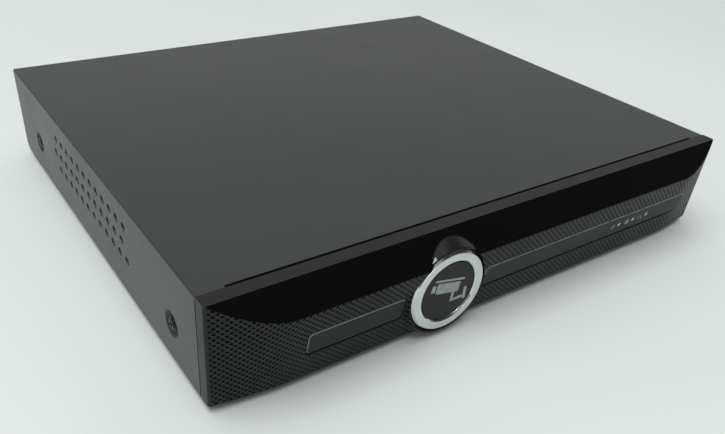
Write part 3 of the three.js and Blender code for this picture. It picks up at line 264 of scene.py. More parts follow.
@dataclass(frozen=True)
class PolishedAbs(Finish):
    """ABS moulded in a polished mould: piano black, a mirror with the least waviness."""

    colour: str = "040505"
    drift: str = "060707"
    roughness: Flat = (0.03, 0.07)
    grain: float = 14.0
    relief: float = 0.006
    coat: float = 0.3


@dataclass(frozen=True)
class DimpledAbs(Finish):
    """ABS moulded with staggered pits, which leave a net of ridges that catches the light; the pits
    are painted near black and reflect less, as painted shade.

    Attributes:
        pitch: millimetres between pits along a row, and between rows that line up; the real
            ones are finer, and these are as coarse as they need to be to show.
        pit_depth: millimetres.
        pit_gloss: share of the face's reflection that is left in a pit, turned down as painted shade.
    """

    colour: str = "0b0e10"
    drift: str = "111416"
    roughness: Flat = (0.36, 0.44)
    grain: float = 0.4
    relief: float = 0.006
    ior: float = 1.38
    # near black in the pits: painted shade where the pits are shadowed
    pattern_colour: str = "020303"
    pitch: Flat = (2.5, 2.25)
    pit_depth: float = 0.2
    pit_gloss: float = 0.1

    def pattern(self, tree: NodeTree, place: NodeSocket) -> Weave:
        """Adds pits at the high points of two crossed waves, which are staggered by half.

        Args:
            tree: the material's node tree.
            place: the surface's own place, in metres.

        Returns:
            The pits.
        """
        parts = add_node(tree, "ShaderNodeSeparateXYZ", {}, {0: place})
        waves = []
        for output, pitch in (("X", self.pitch[0]), ("Z", self.pitch[1])):
            turns = add_node(
                tree,
                "ShaderNodeMath",
                {1: 2 * math.pi / (pitch * MM)},
                {0: parts.outputs[output]},
                operation="MULTIPLY",
            ).outputs[0]
            wave = add_node(tree, "ShaderNodeMath", {}, {0: turns}, operation="COSINE")
            waves.append(wave.outputs[0])
        crossed = add_node(tree, "ShaderNodeMath", {}, dict(enumerate(waves)), operation="MULTIPLY")
        pits = add_node(
            tree,
            "ShaderNodeMapRange",
            {"From Min": -0.1, "From Max": 0.5},
            {"Value": crossed.outputs[0]},
            interpolation_type="SMOOTHSTEP",
        )
        return Weave(pits.outputs["Result"], self.pit_depth, self.pit_gloss)


@dataclass(frozen=True)
class StripAbs(Finish):
    """A glued strip of dark smooth ABS with a slight blue to it."""

    colour: str = "101316"
    drift: str = "121518"
    roughness: Flat = (0.42, 0.5)
    grain: float = 0.6
    relief: float = 0.003
    ior: float = 1.33


@dataclass(frozen=True)
class PaintedHighlightRim(Finish):
    """The strips' bevelled rim painted bright grey: a painted highlight, a hair of light that draws
    their outline.
    """

    # bright grey metal on the rim: painted highlight
    colour: str = "8f9495"
    drift: str = "7f8485"
    roughness: Flat = (0.22, 0.34)
    relief: float = 0.002
    patch: float = 12.0
    metallic: float = 0.7


@dataclass(frozen=True)
class SatinChrome(Finish):
    """Satin chrome plate on plastic: a pale even silver that blurs what it mirrors."""

    colour: str = "d6dad9"
    drift: str = "ced2d1"
    roughness: Flat = (0.30, 0.38)
    grain: float = 0.35
    relief: float = 0.002
    patch: float = 9.0
    metallic: float = 1.0


@dataclass(frozen=True)
class PolishedChrome(Finish):
    """The same plate over a polished shoulder: sharp bright lines."""

    colour: str = "d5d9d8"
    drift: str = "cdd1d0"
    roughness: Flat = (0.08, 0.14)
    grain: float = 1.5
    relief: float = 0.002
    patch: float = 9.0
    metallic: float = 1.0


@dataclass(frozen=True)
class SatinLacquer(Finish):
    """Black lacquer rubbed to a satin on the badge's disc: soft broad highlights."""

    colour: str = "111415"
    drift: str = "131617"
    roughness: Flat = (0.38, 0.46)
    relief: float = 0.002
    patch: float = 12.0
    ior: float = 1.34


@dataclass(frozen=True)
class SilverInk(Finish):
    """Screen-printed silver ink: dull grey flakes that stand a hair above the surface."""

    colour: str = "9aa0a0"
    drift: str = "868c8c"
    roughness: Flat = (0.4, 0.5)
    grain: float = 0.2
    relief: float = 0.006
    patch: float = 3.0
    metallic: float = 0.6


@dataclass(frozen=True)
class DiffuserPolycarbonate(Finish):
    """Milky polycarbonate of the light guide: pale grey where no lamp is lit behind it."""

    colour: str = "a9b0af"
    drift: str = "9fa6a5"
    roughness: Flat = (0.3, 0.4)
    relief: float = 0.003
    patch: float = 4.0
    ior: float = 1.58


@dataclass(frozen=True)
class BlackOxideSteel(Finish):
    """Blackened screw steel: dark, oily and worn a little brighter in patches."""

    colour: str = "232526"
    drift: str = "3a3d3e"
    roughness: Flat = (0.28, 0.42)
    grain: float = 0.3
    relief: float = 0.006
    patch: float = 2.0
    metallic: float = 0.85


@dataclass(frozen=True)
class ZincPlatedSteel(Finish):
    """Bright zinc plate on screws: cool silver with a faint yellow in places."""

    colour: str = "b4b7b8"
    drift: str = "a9a898"
    roughness: Flat = (0.22, 0.36)
    grain: float = 0.4
    relief: float = 0.005
    patch: float = 3.0
    metallic: float = 1.0


@dataclass(frozen=True)
class GalvanisedSheet(Finish):
    """Galvanised steel sheet: grey with the leaf-like spangle of the zinc."""

    colour: str = "a3a8aa"
    drift: str = "979c9e"
    roughness: Flat = (0.34, 0.46)
    patch: float = 40.0
    metallic: float = 1.0
    pattern_colour: str = "8b9092"
    spangle: float = 7.0  # millimetres across one zinc crystal

    def pattern(self, tree: NodeTree, place: NodeSocket) -> Weave:
        """Adds zinc crystals, each with its own even grey.

        Args:
            tree: the material's node tree.
            place: the surface's own place, in metres.

        Returns:
            The crystals' tones.
        """
        cells = add_node(
            tree,
            "ShaderNodeTexVoronoi",
            {"Scale": 1 / (self.spangle * MM)},
            {"Vector": place},
        )
        grey = add_node(tree, "ShaderNodeSeparateColor", {}, {0: cells.outputs["Color"]})
        tone = add_node(tree, "ShaderNodeMapRange", {"To Max": 0.55}, {"Value": grey.outputs[0]})
        return Weave(tone.outputs["Result"], 0.0005)


@dataclass(frozen=True)
class NickelPlate(Finish):
    """Nickel plate on the sockets' brass and steel: warm bright silver."""

    colour: str = "c9c5bb"
    drift: str = "bdb9ae"
    roughness: Flat = (0.16, 0.28)
    relief: float = 0.003
    patch: float = 5.0
    metallic: float = 1.0


@dataclass(frozen=True)
class GoldPlate(Finish):
    """Thin gold on contacts."""

    colour: str = "d8b25a"
    drift: str = "c9a047"
    roughness: Flat = (0.18, 0.26)
    grain: float = 0.3
    relief: float = 0.002
    patch: float = 2.0
    metallic: float = 1.0


@dataclass(frozen=True)
class BlackNylon(Finish):
    """Glass-filled nylon of the sockets' housings: dull black with a mottled skin."""

    colour: str = "151617"
    drift: str = "1c1d1e"
    roughness: Flat = (0.48, 0.62)
    grain: float = 0.35
    relief: float = 0.012
    patch: float = 6.0


@dataclass(frozen=True)
class WhiteNylon(Finish):
    """Natural white plastic of insulators and insets."""

    colour: str = "d6d6ce"
    drift: str = "cbcac0"
    roughness: Flat = (0.4, 0.5)
    grain: float = 0.3
    patch: float = 4.0


@dataclass(frozen=True)
class RedNylon(WhiteNylon):
    """Red plastic of the sound output's insulator."""

    colour: str = "a3211f"
    drift: str = "93201d"


@dataclass(frozen=True)
class BlueNylon(WhiteNylon):
    """Blue plastic of the monitor socket's inset."""

    colour: str = "1c3f96"
    drift: str = "1a3a8a"


@dataclass(frozen=True)
class FootRubber(Finish):
    """Black rubber of the feet: dull, with a bloom of grey dust in patches."""

    colour: str = "141515"
    drift: str = "232424"
    roughness: Flat = (0.78, 0.92)
    relief: float = 0.03
    patch: float = 5.0
    ior: float = 1.52


@dataclass(frozen=True)
class CastAluminium(Finish):
    """Die-cast aluminium: pale grey with the sandy skin of the die."""

    colour: str = "9da1a3"
    drift: str = "8f9395"
    roughness: Flat = (0.42, 0.56)
    grain: float = 0.6
    relief: float = 0.02
    patch: float = 15.0
    metallic: float = 1.0


@dataclass(frozen=True)
class SputteredPlatter(Finish):
    """Sputtered magnetic layer on a polished platter: a clean dark mirror."""

    colour: str = "c8cacc"
    drift: str = "c3c6c9"
    roughness: Flat = (0.02, 0.05)
    grain: float = 8.0
    relief: float = 0.0005
    metallic: float = 1.0


@dataclass(frozen=True)
class SolderMask(Finish):
    """Green solder mask over copper: tracks show as lighter lines under the lacquer."""

    colour: str = "17452a"
    drift: str = "1b4d30"
    roughness: Flat = (0.28, 0.38)
    patch: float = 20.0
    pattern_colour: str = "2c6a41"
    track: float = 2.4  # millimetres from one bundle of tracks to the next

    def pattern(self, tree: NodeTree, place: NodeSocket) -> Weave:
        """Adds tracks as the borders of square-metric cells, which run straight and at corners.

        Args:
            tree: the material's node tree.
            place: the surface's own place, in metres.

        Returns:
            The tracks.
        """
        cells = add_node(
            tree,
            "ShaderNodeTexVoronoi",
            {"Scale": 1 / (self.track * 2 * MM), "Randomness": 0.9},
            {"Vector": place},
            distance="CHEBYCHEV",
        )
        ring = add_node(
            tree,
            "ShaderNodeMath",
            {1: 5.0},
            {0: cells.outputs["Distance"]},
            operation="MULTIPLY",
        ).outputs[0]
        saw = add_node(tree, "ShaderNodeMath", {}, {0: ring}, operation="FRACT").outputs[0]
        line = add_node(
            tree, "ShaderNodeMath", {1: 0.72}, {0: saw}, operation="GREATER_THAN"
        ).outputs[0]
        return Weave(line, -0.01)


@dataclass(frozen=True)
class RedPvc(Finish):
    """Red PVC jacket of the disk's data lead."""

    colour: str = "9c2723"
    drift: str = "8d221f"
    roughness: Flat = (0.4, 0.5)
    relief: float = 0.006


@dataclass(frozen=True)
class BlackPvc(Finish):
    """Black PVC jackets and plugs of the power leads."""

    colour: str = "17181a"
    drift: str = "1e1f21"
    roughness: Flat = (0.42, 0.54)
    relief: float = 0.008


@dataclass(frozen=True)
class GreyRibbon(Finish):
    """Grey flat cable: parallel cores under one PVC skin."""

    colour: str = "8c9195"
    drift: str = "82878b"
    roughness: Flat = (0.45, 0.55)
    relief: float = 0.006
    # darker in the grooves between cores: painted shade
    pattern_colour: str = "6e7377"
    core: float = 1.27  # millimetres between cores, which run from front to rear

    def pattern(self, tree: NodeTree, place: NodeSocket) -> Weave:
        """Adds a groove between each two cores, painted darker as painted shade.

        Args:
            tree: the material's node tree.
            place: the surface's own place, in metres.

        Returns:
            The grooves.
        """
        across = add_node(tree, "ShaderNodeSeparateXYZ", {}, {0: place}).outputs["X"]
        turns = add_node(
            tree,
            "ShaderNodeMath",
            {1: 2 * math.pi / (self.core * MM)},
            {0: across},
            operation="MULTIPLY",
        ).outputs[0]
        wave = add_node(tree, "ShaderNodeMath", {}, {0: turns}, operation="COSINE").outputs[0]
        groove = add_node(
            tree, "ShaderNodeMapRange", {"From Min": 0.5}, {"Value": wave}
        ).outputs["Result"]
        return Weave(groove, 0.2)


@dataclass(frozen=True)
class SeamlessCard(Finish):
    """Matt paper board under the recorder: pale, with the faintest tooth."""

    colour: str = "dfe5e3"
    drift: str = "dbe1df"
    roughness: Flat = (0.7, 0.8)
    grain: float = 1.0
    relief: float = 0.01
    patch: float = 300.0


# ---- forms


class Cut(Enum):
    """How one closed form acts on another."""

    JOIN = "UNION"
    REMOVE = "DIFFERENCE"


class Corner(NamedTuple):
    """A corner of a flat line, and the finish number of the run that follows it."""

    a: float
    b: float
    radius: float = 0.0
    finish: int = 0


def rounded(
    corners: Sequence[Corner], steps: int = 4, ring: bool = False
) -> tuple[list[Flat], list[int]]:
    """Rounds a flat line's corners.

    Args:
        corners: the line's corners in order, each with its radius.
        steps: straight runs in each rounded corner.
        ring: the last corner is joined to the first.

    Returns:
        The line's points, and the finish number of the run after each of them.
    """
    points: list[Flat] = []
    finishes: list[int] = []
    count = len(corners)
    for i, corner in enumerate(corners):
        here = Vector((corner.a, corner.b))
        inner = ring or 0 < i < count - 1
        if not (corner.radius and inner):
            points.append((corner.a, corner.b))
            finishes.append(corner.finish)
            continue
        before, after = corners[i - 1], corners[(i + 1) % count]
        back = Vector((before.a, before.b)) - here
        on = Vector((after.a, after.b)) - here
        if min(back.length, on.length) < 1e-6:
            reach = 0.0
        else:
            turn = math.pi - back.angle(on)
            reach = min(corner.radius * math.tan(turn / 2), 0.45 * back.length, 0.45 * on.length)
        start = here + back.normalized() * reach
        end = here + on.normalized() * reach
        for k in range(steps + 1):
            t = k / steps
            at = start * (1 - t) ** 2 + here * (2 * t * (1 - t)) + end * t**2
            points.append((at.x, at.y))
            finishes.append(corner.finish)
    return points, finishes


def inset(outline: Sequence[Flat], distance: float) -> list[Flat]:
    """Moves a closed outline's sides inwards by a distance; the outline runs anticlockwise.

    Args:
        outline: the outline's points.
        distance: how far in; less than zero for out.

    Returns:
        The moved outline.
    """
    moved = []
    count = len(outline)
    for i, (x, y) in enumerate(outline):
        px, py = outline[i - 1]
        nx, ny = outline[(i + 1) % count]
        before = Vector((x - px, y - py)).normalized()
        after = Vector((nx - x, ny - y)).normalized()
        normals = Vector((-before.y, before.x)), Vector((-after.y, after.x))
        mitre = normals[0] + normals[1]
        mitre *= distance / max(mitre.dot(normals[0]), 1e-6)
        moved.append((x + mitre.x, y + mitre.y))
    return moved


def rectangle(
    width: float, height: float, centre: Flat = (0, 0), radius: float = 0, steps: int = 4
) -> list[Flat]:
    """A rectangle's outline, anticlockwise, with rounded corners where a radius is given.

    Args:
        width: its width.
        height: its height.
        centre: its middle.
        radius: radius of its corners.
        steps: straight runs in each corner.

    Returns:
        The outline's points.
    """
    (cx, cy), w, h = centre, width / 2, height / 2
    ends = ((cx + w, cy - h), (cx + w, cy + h), (cx - w, cy + h), (cx - w, cy - h))
    return rounded([Corner(a, b, radius) for a, b in ends], steps, ring=True)[0]


def circle(radius: float, centre: Flat = (0, 0), steps: int = 32, start: float = 0.0) -> list[Flat]:
    """A circle's outline, anticlockwise."""
    angles = (start + 2 * math.pi * i / steps for i in range(steps))
    return [(centre[0] + radius * math.cos(a), centre[1] + radius * math.sin(a)) for a in angles]


def facing(
    at: Sequence[float],
    direction: Sequence[float],
    up: Sequence[float] = (0, 0, 1),
    spin: float = 0.0,
) -> Matrix:
    """A place whose own z axis points in a direction.

    Args:
        at: the place's origin, in millimetres.
        direction: where its z axis points.
        up: where its y axis points, as nearly as it can.
        spin: turn about its z axis, in radians.

    Returns:
        The matrix from the place to the model's frame.
    """
    z = Vector(direction).normalized()
    x = Vector(up).cross(z)
    x = x.normalized() if x.length > 1e-6 else Vector((1, 0, 0))
    y = z.cross(x)
    turned = Matrix((x, y, z)).transposed().to_4x4()
    return Matrix.Translation(Vector(at)) @ turned @ Matrix.Rotation(spin, 4, "Z")


class Form:
    """A closed mesh in millimetres, with a finish number on each face."""

    def __init__(self) -> None:
        """Starts with nothing."""
        self.bm = bmesh.new()

    def skin(
        self,
        sections: Sequence[Sequence[Vector]],
        finishes: Sequence[int] = (0,),
        wrap: bool = False,
        ring: bool = False,
        caps: Sequence[int] = (),
    ) -> Form:
        """Lays faces between neighbouring sections.

        Args:
            sections: rows of points, all of one length.
            finishes: finish number of each run along a row; the last one serves for the rest.
            wrap: the last section is joined to the first.
            ring: each section is closed.
            caps: finish numbers of the faces that close the first and last section.

        Returns:
            This form.
        """
        rows = [[self.bm.verts.new(point) for point in row] for row in sections]
        runs = len(sections[0]) - (0 if ring else 1)
        for near, far in zip(rows, rows[1:] + (rows[:1] if wrap else [])):
            for j in range(runs):
                k = (j + 1) % len(near)
                face = self.bm.faces.new((near[j], near[k], far[k], far[j]))
                face.material_index = finishes[min(j, len(finishes) - 1)]
        for row, finish in zip((rows[0], rows[-1]), caps):
            self.bm.faces.new(row).material_index = finish
        return self

    def lathe(
        self,
        profile: Sequence[Flat],
        place: Matrix,
        steps: int = 48,
        finishes: Sequence[int] = (0,),
    ) -> Form:
        """Turns a profile of (radius, height) points about a place's z axis.

        Args:
            profile: points from the axis and back to it.
            place: matrix from the place to the model's frame.
            steps: faces round the axis.
            finishes: finish number of each run of the profile.

        Returns:
            This form.
        """
        angles = [2 * math.pi * i / steps for i in range(steps)]
        sections = [
            [place @ Vector((r * math.cos(a), r * math.sin(a), h)) for r, h in profile]
            for a in angles
        ]
        return self.skin(sections, finishes, wrap=True)

    def prism(
        self,
        outline: Sequence[Flat],
        low: float,
        high: float,
        place: Matrix = Matrix(),
        edge: float = 0.0,
        foot: float = 0.0,
        finishes: Sequence[int] = (0, 0, 0),
    ) -> Form:
        """Stands an outline up along a place's z axis.

        Args:
            outline: flat points, anticlockwise.
            low: height of its lower end.
            high: height of its upper end.
            place: matrix from the place to the model's frame.
            edge: radius of the upper rim.
            foot: radius of the lower rim.
            finishes: finish numbers of the sides, the lower end and the upper end.

        Returns:
            This form.
        """
        levels: list[Flat] = []
        arc = [math.pi / 2 * k / 3 for k in range(4)]
        if foot:
            levels += [(foot * (1 - math.sin(a)), low + foot * (1 - math.cos(a))) for a in arc]
        else:
            levels.append((0.0, low))
        if edge:
            levels += [(edge * (1 - math.cos(a)), high - edge * (1 - math.sin(a))) for a in arc]
        else:
            levels.append((0.0, high))
        return self.layers(outline, levels, place, finishes)

    def layers(
        self,
        outline: Sequence[Flat],
        levels: Iterable[Flat],
        place: Matrix = Matrix(),
        finishes: Sequence[int] = (0, 0, 0),
    ) -> Form:
        """Stands an outline up level by level, wider or narrower at each.

        Args:
            outline: flat points, anticlockwise.
            levels: for each level, the distance that the outline moves in by, and the height.
            place: matrix from the place to the model's frame.
            finishes: finish numbers of the sides, the first end and the last end.

        Returns:
            This form.
        """
        sections = [
            [place @ Vector((x, y, z)) for x, y in (inset(outline, d) if d else outline)]
            for d, z in levels
        ]
        return self.skin(sections, finishes[:1], ring=True, caps=finishes[1:])

    def block(
        self,
        low: Sequence[float],
        high: Sequence[float],
        edge: float = 0.0,
        finish: int = 0,
    ) -> Form:
        """A box between two corners, with all its edges rounded where a radius is given.

        Args:
            low: its lowest corner.
            high: its highest corner.
            edge: radius of its edges.
            finish: its finish number.

        Returns:
            This form.
        """
        width, depth = high[0] - low[0], high[1] - low[1]
        centre = ((low[0] + high[0]) / 2, (low[1] + high[1]) / 2)
        outline = rectangle(width, depth, centre, edge, 3)
        return self.prism(outline, low[2], high[2], Matrix(), edge, edge, (finish,) * 3)

    def clean(self) -> Form:
        """Joins points that coincide and turns every face outwards.

        Returns:
            This form.
        """
        bmesh.ops.remove_doubles(self.bm, verts=self.bm.verts[:], dist=1e-4)
        bmesh.ops.dissolve_degenerate(self.bm, edges=self.bm.edges[:], dist=1e-4)
        bmesh.ops.recalc_face_normals(self.bm, faces=self.bm.faces[:])
        return self

    def as_object(self) -> Object:
        """A passing object with this form's mesh and empty finish slots.

        Returns:
            The object, to be removed after use.
        """
        mesh = bpy.data.meshes.new("passing")
        self.clean().bm.to_mesh(mesh)
        for _ in range(6):
            mesh.materials.append(None)
        passing = bpy.data.objects.new("passing", mesh)
        bpy.context.scene.collection.objects.link(passing)
        return passing

    def combine(self, other: Form, how: Cut) -> Form:
        """Joins another closed form to this one, or cuts it away.

        Args:
            other: the other form.
            how: whether it is joined or cut away.

        Returns:
            This form.
        """
        mine, theirs = self.as_object(), other.as_object()
        cutter = mine.modifiers.new("cut", "BOOLEAN")
        cutter.operation, cutter.solver, cutter.object = how.value, "EXACT", theirs
        graph = bpy.context.evaluated_depsgraph_get()
        result = bpy.data.meshes.new_from_object(mine.evaluated_get(graph))
        self.bm.clear()
        self.bm.from_mesh(result)
        for passing in (mine, theirs):
            mesh = passing.data
            bpy.data.objects.remove(passing)
            bpy.data.meshes.remove(mesh)
        bpy.data.meshes.remove(result)
        return self

    def repaint(self, finish: int, where: Callable[[bmesh.types.BMFace], bool]) -> Form:
        """Gives a finish number to the faces that a test picks.

        Args:
            finish: the finish number.
            where: the test.

        Returns:
            This form.
        """
        self.bm.normal_update()
        for face in self.bm.faces:
            if where(face):
                face.material_index = finish
        return self

    def piece(
        self,
        name: str,
        finishes: Sequence[Finish],
        slot: str,
        replaces: Sequence[str] = (),
        body: str = "case",
        sharp: float = 35.0,
    ) -> Object:
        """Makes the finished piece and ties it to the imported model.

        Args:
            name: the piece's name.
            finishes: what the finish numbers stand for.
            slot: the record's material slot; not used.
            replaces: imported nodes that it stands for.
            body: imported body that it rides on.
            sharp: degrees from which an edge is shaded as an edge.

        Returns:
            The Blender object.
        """
        self.clean()
        for face in self.bm.faces:
            face.smooth = True
        for edge in self.bm.edges:
            edge.smooth = edge.calc_face_angle(math.pi) < math.radians(sharp)
        bmesh.ops.scale(self.bm, vec=(MM, MM, MM), verts=self.bm.verts[:])
        mesh = bpy.data.meshes.new(name)
        self.bm.to_mesh(mesh)
        self.bm.free()
        for finish in finishes:
            mesh.materials.append(finish.material())
        made = bpy.data.objects.new(name, mesh)
        bpy.context.scene.collection.objects.link(made)
        flats = made.modifiers.new("flats", "WEIGHTED_NORMAL")
        flats.keep_sharp, flats.weight = True, 90
        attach(made, body)
        if replaces:
            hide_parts(*replaces)
        log.info("%s: %d faces", name, len(mesh.polygons))
        return made


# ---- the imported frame


@dataclass(frozen=True)
class CaseFrame:
    """The case's main planes in millimetres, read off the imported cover."""

    half: float
    floor: float
    top: float
    front: float
    rear: float

    @classmethod
    def read(cls) -> CaseFrame:
        """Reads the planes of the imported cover."""
        low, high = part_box("top_cover")
        return cls(high.x / MM, low.z / MM, high.z / MM, low.y / MM, high.y / MM)


def packed_box(node: str) -> tuple[Vector, Vector]:
    """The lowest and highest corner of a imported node, in millimetres."""
    low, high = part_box(node)
    return low / MM, high / MM


def packed_centre(node: str) -> Vector:
    """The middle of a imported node's box, in millimetres."""
    low, high = packed_box(node)
    return (low + high) / 2


# ---- screws


class Drive(Enum):
    """Where a machine screw goes, which settles its length and plate."""

    COVER = (5.0, BlackOxideSteel())
    DISK = (5.0, ZincPlatedSteel())
    BOARD = (4.5, ZincPlatedSteel())


@dataclass
class PanScrew:
    """An M3 pan-head screw with a cross recess, its seat on z = 0 and its head above."""

    drive: Drive
    head: float = 2.9
    head_height: float = 1.6
    shank: float = 1.45
    thread: float = 0.5
    recess: float = 1.55  # half the cross's span
    recess_width: float = 0.36  # half the width of an arm
    recess_depth: float = 1.1

    def form(self, place: Matrix) -> Form:
        """Turns the head and the threaded shank, and sinks the cross.

        Args:
            place: matrix from the screw's seat to the model's frame.

        Returns:
            The closed form.
        """
        length = self.drive.value[0]
        profile: list[Flat] = [(0, -length), (self.shank * 0.8, -length)]
        turns = int((length - 0.6) / self.thread)
        for i in range(turns):
            foot = -length + 0.3 + i * self.thread
            profile += [(self.shank * 0.84, foot), (self.shank, foot + self.thread / 2)]
        profile += [(self.shank * 0.84, -0.2), (self.shank * 0.84, 0)]
        dome = [
            Corner(self.shank * 0.84, 0),
            Corner(self.head, 0, 0.12),
            Corner(self.head, self.head_height * 0.45, 0.5),
            Corner(self.head * 0.62, self.head_height, 0.9),
            Corner(0, self.head_height),
        ]
        profile += rounded(dome, 4)[0][1:]
        screw = Form().lathe(profile, place, 36)
        for turn in (0.0, math.pi / 2):
            arm = place @ Matrix.Rotation(turn, 4, "Z")
            sections = []
            for span, share, z in (
                (0.55, 0.7, self.head_height - self.recess_depth),
                (1.0, 1.0, self.head_height + 0.05),
            ):
                a, b = self.recess * span, self.recess_width * share
                corners = ((-a, -b), (a, -b), (a, b), (-a, b))
                sections.append([arm @ Vector((x, y, z)) for x, y in corners])
            slot = Form().skin(sections, (0,), ring=True, caps=(0, 0))
            screw.combine(slot, Cut.REMOVE)
        return screw

    def fit(self, node: str, direction: Sequence[float], spin: float, slot: str) -> None:
        """Makes the screw that stands for a packed one, seated where that one is.

        Args:
            node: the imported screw.
            direction: where its head points.
            spin: turn of its cross, in radians.
            slot: the record's material slot.
        """
        low, high = packed_box(node)
        out = Vector(direction)
        centre = (low + high) / 2
        tip = Vector(h if d > 0 else l if d < 0 else c for h, l, d, c in zip(high, low, out, centre))
        seat = tip - out * self.head_height
        self.form(facing(seat, out, (0, 0, 1) if abs(out.z) < 0.5 else (0, 1, 0), spin)).piece(
            f"{node}_turned", (self.drive.value[1],), slot, (node,)
        )


# ---- cover


@dataclass
class Cover:
    """The folded sheet cover with its vents, dished screw seats and screws."""

    case: CaseFrame
    bend: float = 1.0
    slot_inset: float = 10.0
    slot_width: float = 1.2
    rear_lap: float = 7.0
    rear_seat: float = 18.0  # rear screws' centres in from each side
    side_gap: float = 0.25  # by which the sides stand back from the top's front edge
    corner_clip: float = 3.0
    vent_columns: int = 12
    vent_rows: int = 3
    vent_pitch: float = 7.5
    vent_radius: float = 1.7
    vent_draw: float = 0.22  # by which each vent's rim is drawn in
    vent_top: float = 10.0
    vent_front: float = 62.7  # first hole's centre behind the cover's front edge
    seat_front: float = 21.4  # front seats' centres behind the cover's front edge
    seat_rear: float = 32.5  # rear seats' centres ahead of its rear edge
    seat_drop: float = 25.7
    dish_depth: float = 1.7
    dish_mouth: float = 5.2
    dish_floor: float = 4.0
    bore: float = 1.75

    def sheet_outline(self) -> list[Flat]:
        """The folded sheet's section across the case, anticlockwise from its lower left.

        Returns:
            Points as (x, z).
        """
        half, floor, top = self.case.half, self.case.floor, self.case.top
        outer = [
            Corner(half, floor),
            Corner(half, top, self.bend),
            Corner(-half, top, self.bend),
            Corner(-half, floor),
        ]
        inner = [
            Corner(SHEET - half, floor),
            Corner(SHEET - half, top - SHEET, 1.0),
            Corner(half - SHEET, top - SHEET, 1.0),
            Corner(half - SHEET, floor),
        ]
        return rounded(outer, 8)[0] + rounded(inner, 6)[0]

    def build(self) -> Form:
        """Folds the sheet, then presses and cuts it.

        Returns:
            The cover's form.
        """
        case = self.case
        sections = [
            [Vector((x, y, z)) for x, z in self.sheet_outline()]
            for y in (case.front - 0.2, case.rear)
        ]
        cover = Form().skin(sections, (0,), ring=True, caps=(0, 0))
        lap = case.half - 1.6
        cover.combine(
            Form().block(
                (-lap, case.rear - SHEET, case.top - self.rear_lap),
                (lap, case.rear, case.top - SHEET / 2),
            ),
            Cut.JOIN,
        )
        slot = case.half - self.slot_inset
        cover.combine(
            Form().block(
                (-slot, case.front - 1, case.top - 3),
                (slot, case.front + self.slot_width - 0.3, case.top + 1),
                0.25,
            ),
            Cut.REMOVE,
        )
        clip = [
            Vector((0, case.rear - self.corner_clip, case.floor - 0.01)),
            Vector((0, case.rear + 0.01, case.floor - 0.01)),
            Vector((0, case.rear + 0.01, case.floor + self.corner_clip)),
        ]
        ends = (Vector((-case.half - 1, 0, 0)), Vector((case.half + 1, 0, 0)))
        corners = Form().skin([[end + p for p in clip] for end in ends], ring=True, caps=(0, 0))
        for side in (-1, 1):
            across = sorted((side * (case.half - 3), side * (case.half + 1)))
            corners.block(
                (across[0], case.front - 1, case.floor - 1),
                (across[1], case.front + self.side_gap, case.top - self.bend - 0.2),
            )
        cover.combine(corners, Cut.REMOVE)
        return self.cut_vents(self.press_seats(cover))

    def press_seats(self, cover: Form) -> Form:
        """Presses a dish for each side screw, and bores it and the rear flange.

        Args:
            cover: the folded sheet.

        Returns:
            The same form.
        """
        case = self.case
        swell, hollow = Form(), Form()
        for side in (-1, 1):
            for y in (case.front + self.seat_front, case.rear - self.seat_rear):
                place = facing((side * case.half, y, case.top - self.seat_drop), (side, 0, 0))
                outer = [
                    (0, -self.dish_depth - SHEET),
                    (self.dish_floor + 0.9, -self.dish_depth - SHEET),
                    (self.dish_mouth + 0.9, -SHEET / 2),
                    (0, -SHEET / 2),
                ]
                swell.lathe(outer, place, 40)
                inner = [
                    Corner(self.bore, -self.dish_depth - 2),
                    Corner(self.bore, -self.dish_depth),
                    Corner(self.dish_floor, -self.dish_depth, 0.7),
                    Corner(self.dish_mouth, 0, 1.1),
                    Corner(self.dish_mouth + 1.6, 0.02),
                    Corner(self.dish_mouth + 1.6, 1),
                ]
                profile = [(0, -self.dish_depth - 2), *rounded(inner, 5)[0], (0, 1)]
                hollow.lathe(profile, place, 40)
        for x in (self.rear_seat - case.half, case.half - self.rear_seat):
            at = (x, case.rear - 3, case.top - self.rear_lap / 2 - SHEET / 2)
            hollow.prism(circle(self.bore), 0, 4, facing(at, (0, 1, 0)))
        return cover.combine(swell, Cut.JOIN).combine(hollow, Cut.REMOVE)

    def cut_vents(self, cover: Form) -> Form:
        """Punches the round vents of both sides, with the paint drawn in round each rim.

        Args:
            cover: the folded sheet.

        Returns:
            The same form.
        """
        case = self.case
        punches = Form()
        rim = self.vent_draw
        profile = [
            (0, -2),
            (self.vent_radius, -2),
            (self.vent_radius, -rim),
            (self.vent_radius + rim * 0.3, -rim * 0.3),
            (self.vent_radius + rim, 0.001),
            (self.vent_radius + rim, 1),
            (0, 1),
        ]
        for side in (-1, 1):
            for row in range(self.vent_rows):
                z = case.top - self.vent_top - row * self.vent_pitch
                start = case.front + self.vent_front + (row % 2) * self.vent_pitch / 2
                for column in range(self.vent_columns):
                    at = (side * case.half, start + column * self.vent_pitch, z)
                    punches.lathe(profile, facing(at, (side, 0, 0)), 20)
        return cover.combine(punches, Cut.REMOVE)

    def dress(self) -> None:
        """Makes the cover and its screws."""
        self.build().piece("cover_sheet", (PowderCoatedSteel(),), "painted_cover", ("top_cover",))
        screw = PanScrew(Drive.COVER)
        for label, side in (("left", -1), ("right", 1)):
            for i, end in enumerate(("front", "rear")):
                screw.fit(f"side_screw_{label}_{end}", (side, 0, 0), 0.4 + i, "black_screws")
            screw.fit(f"rear_screw_{label}", (0, 1, 0), 0.65 + side * 0.35, "black_screws")


# ---- bezel


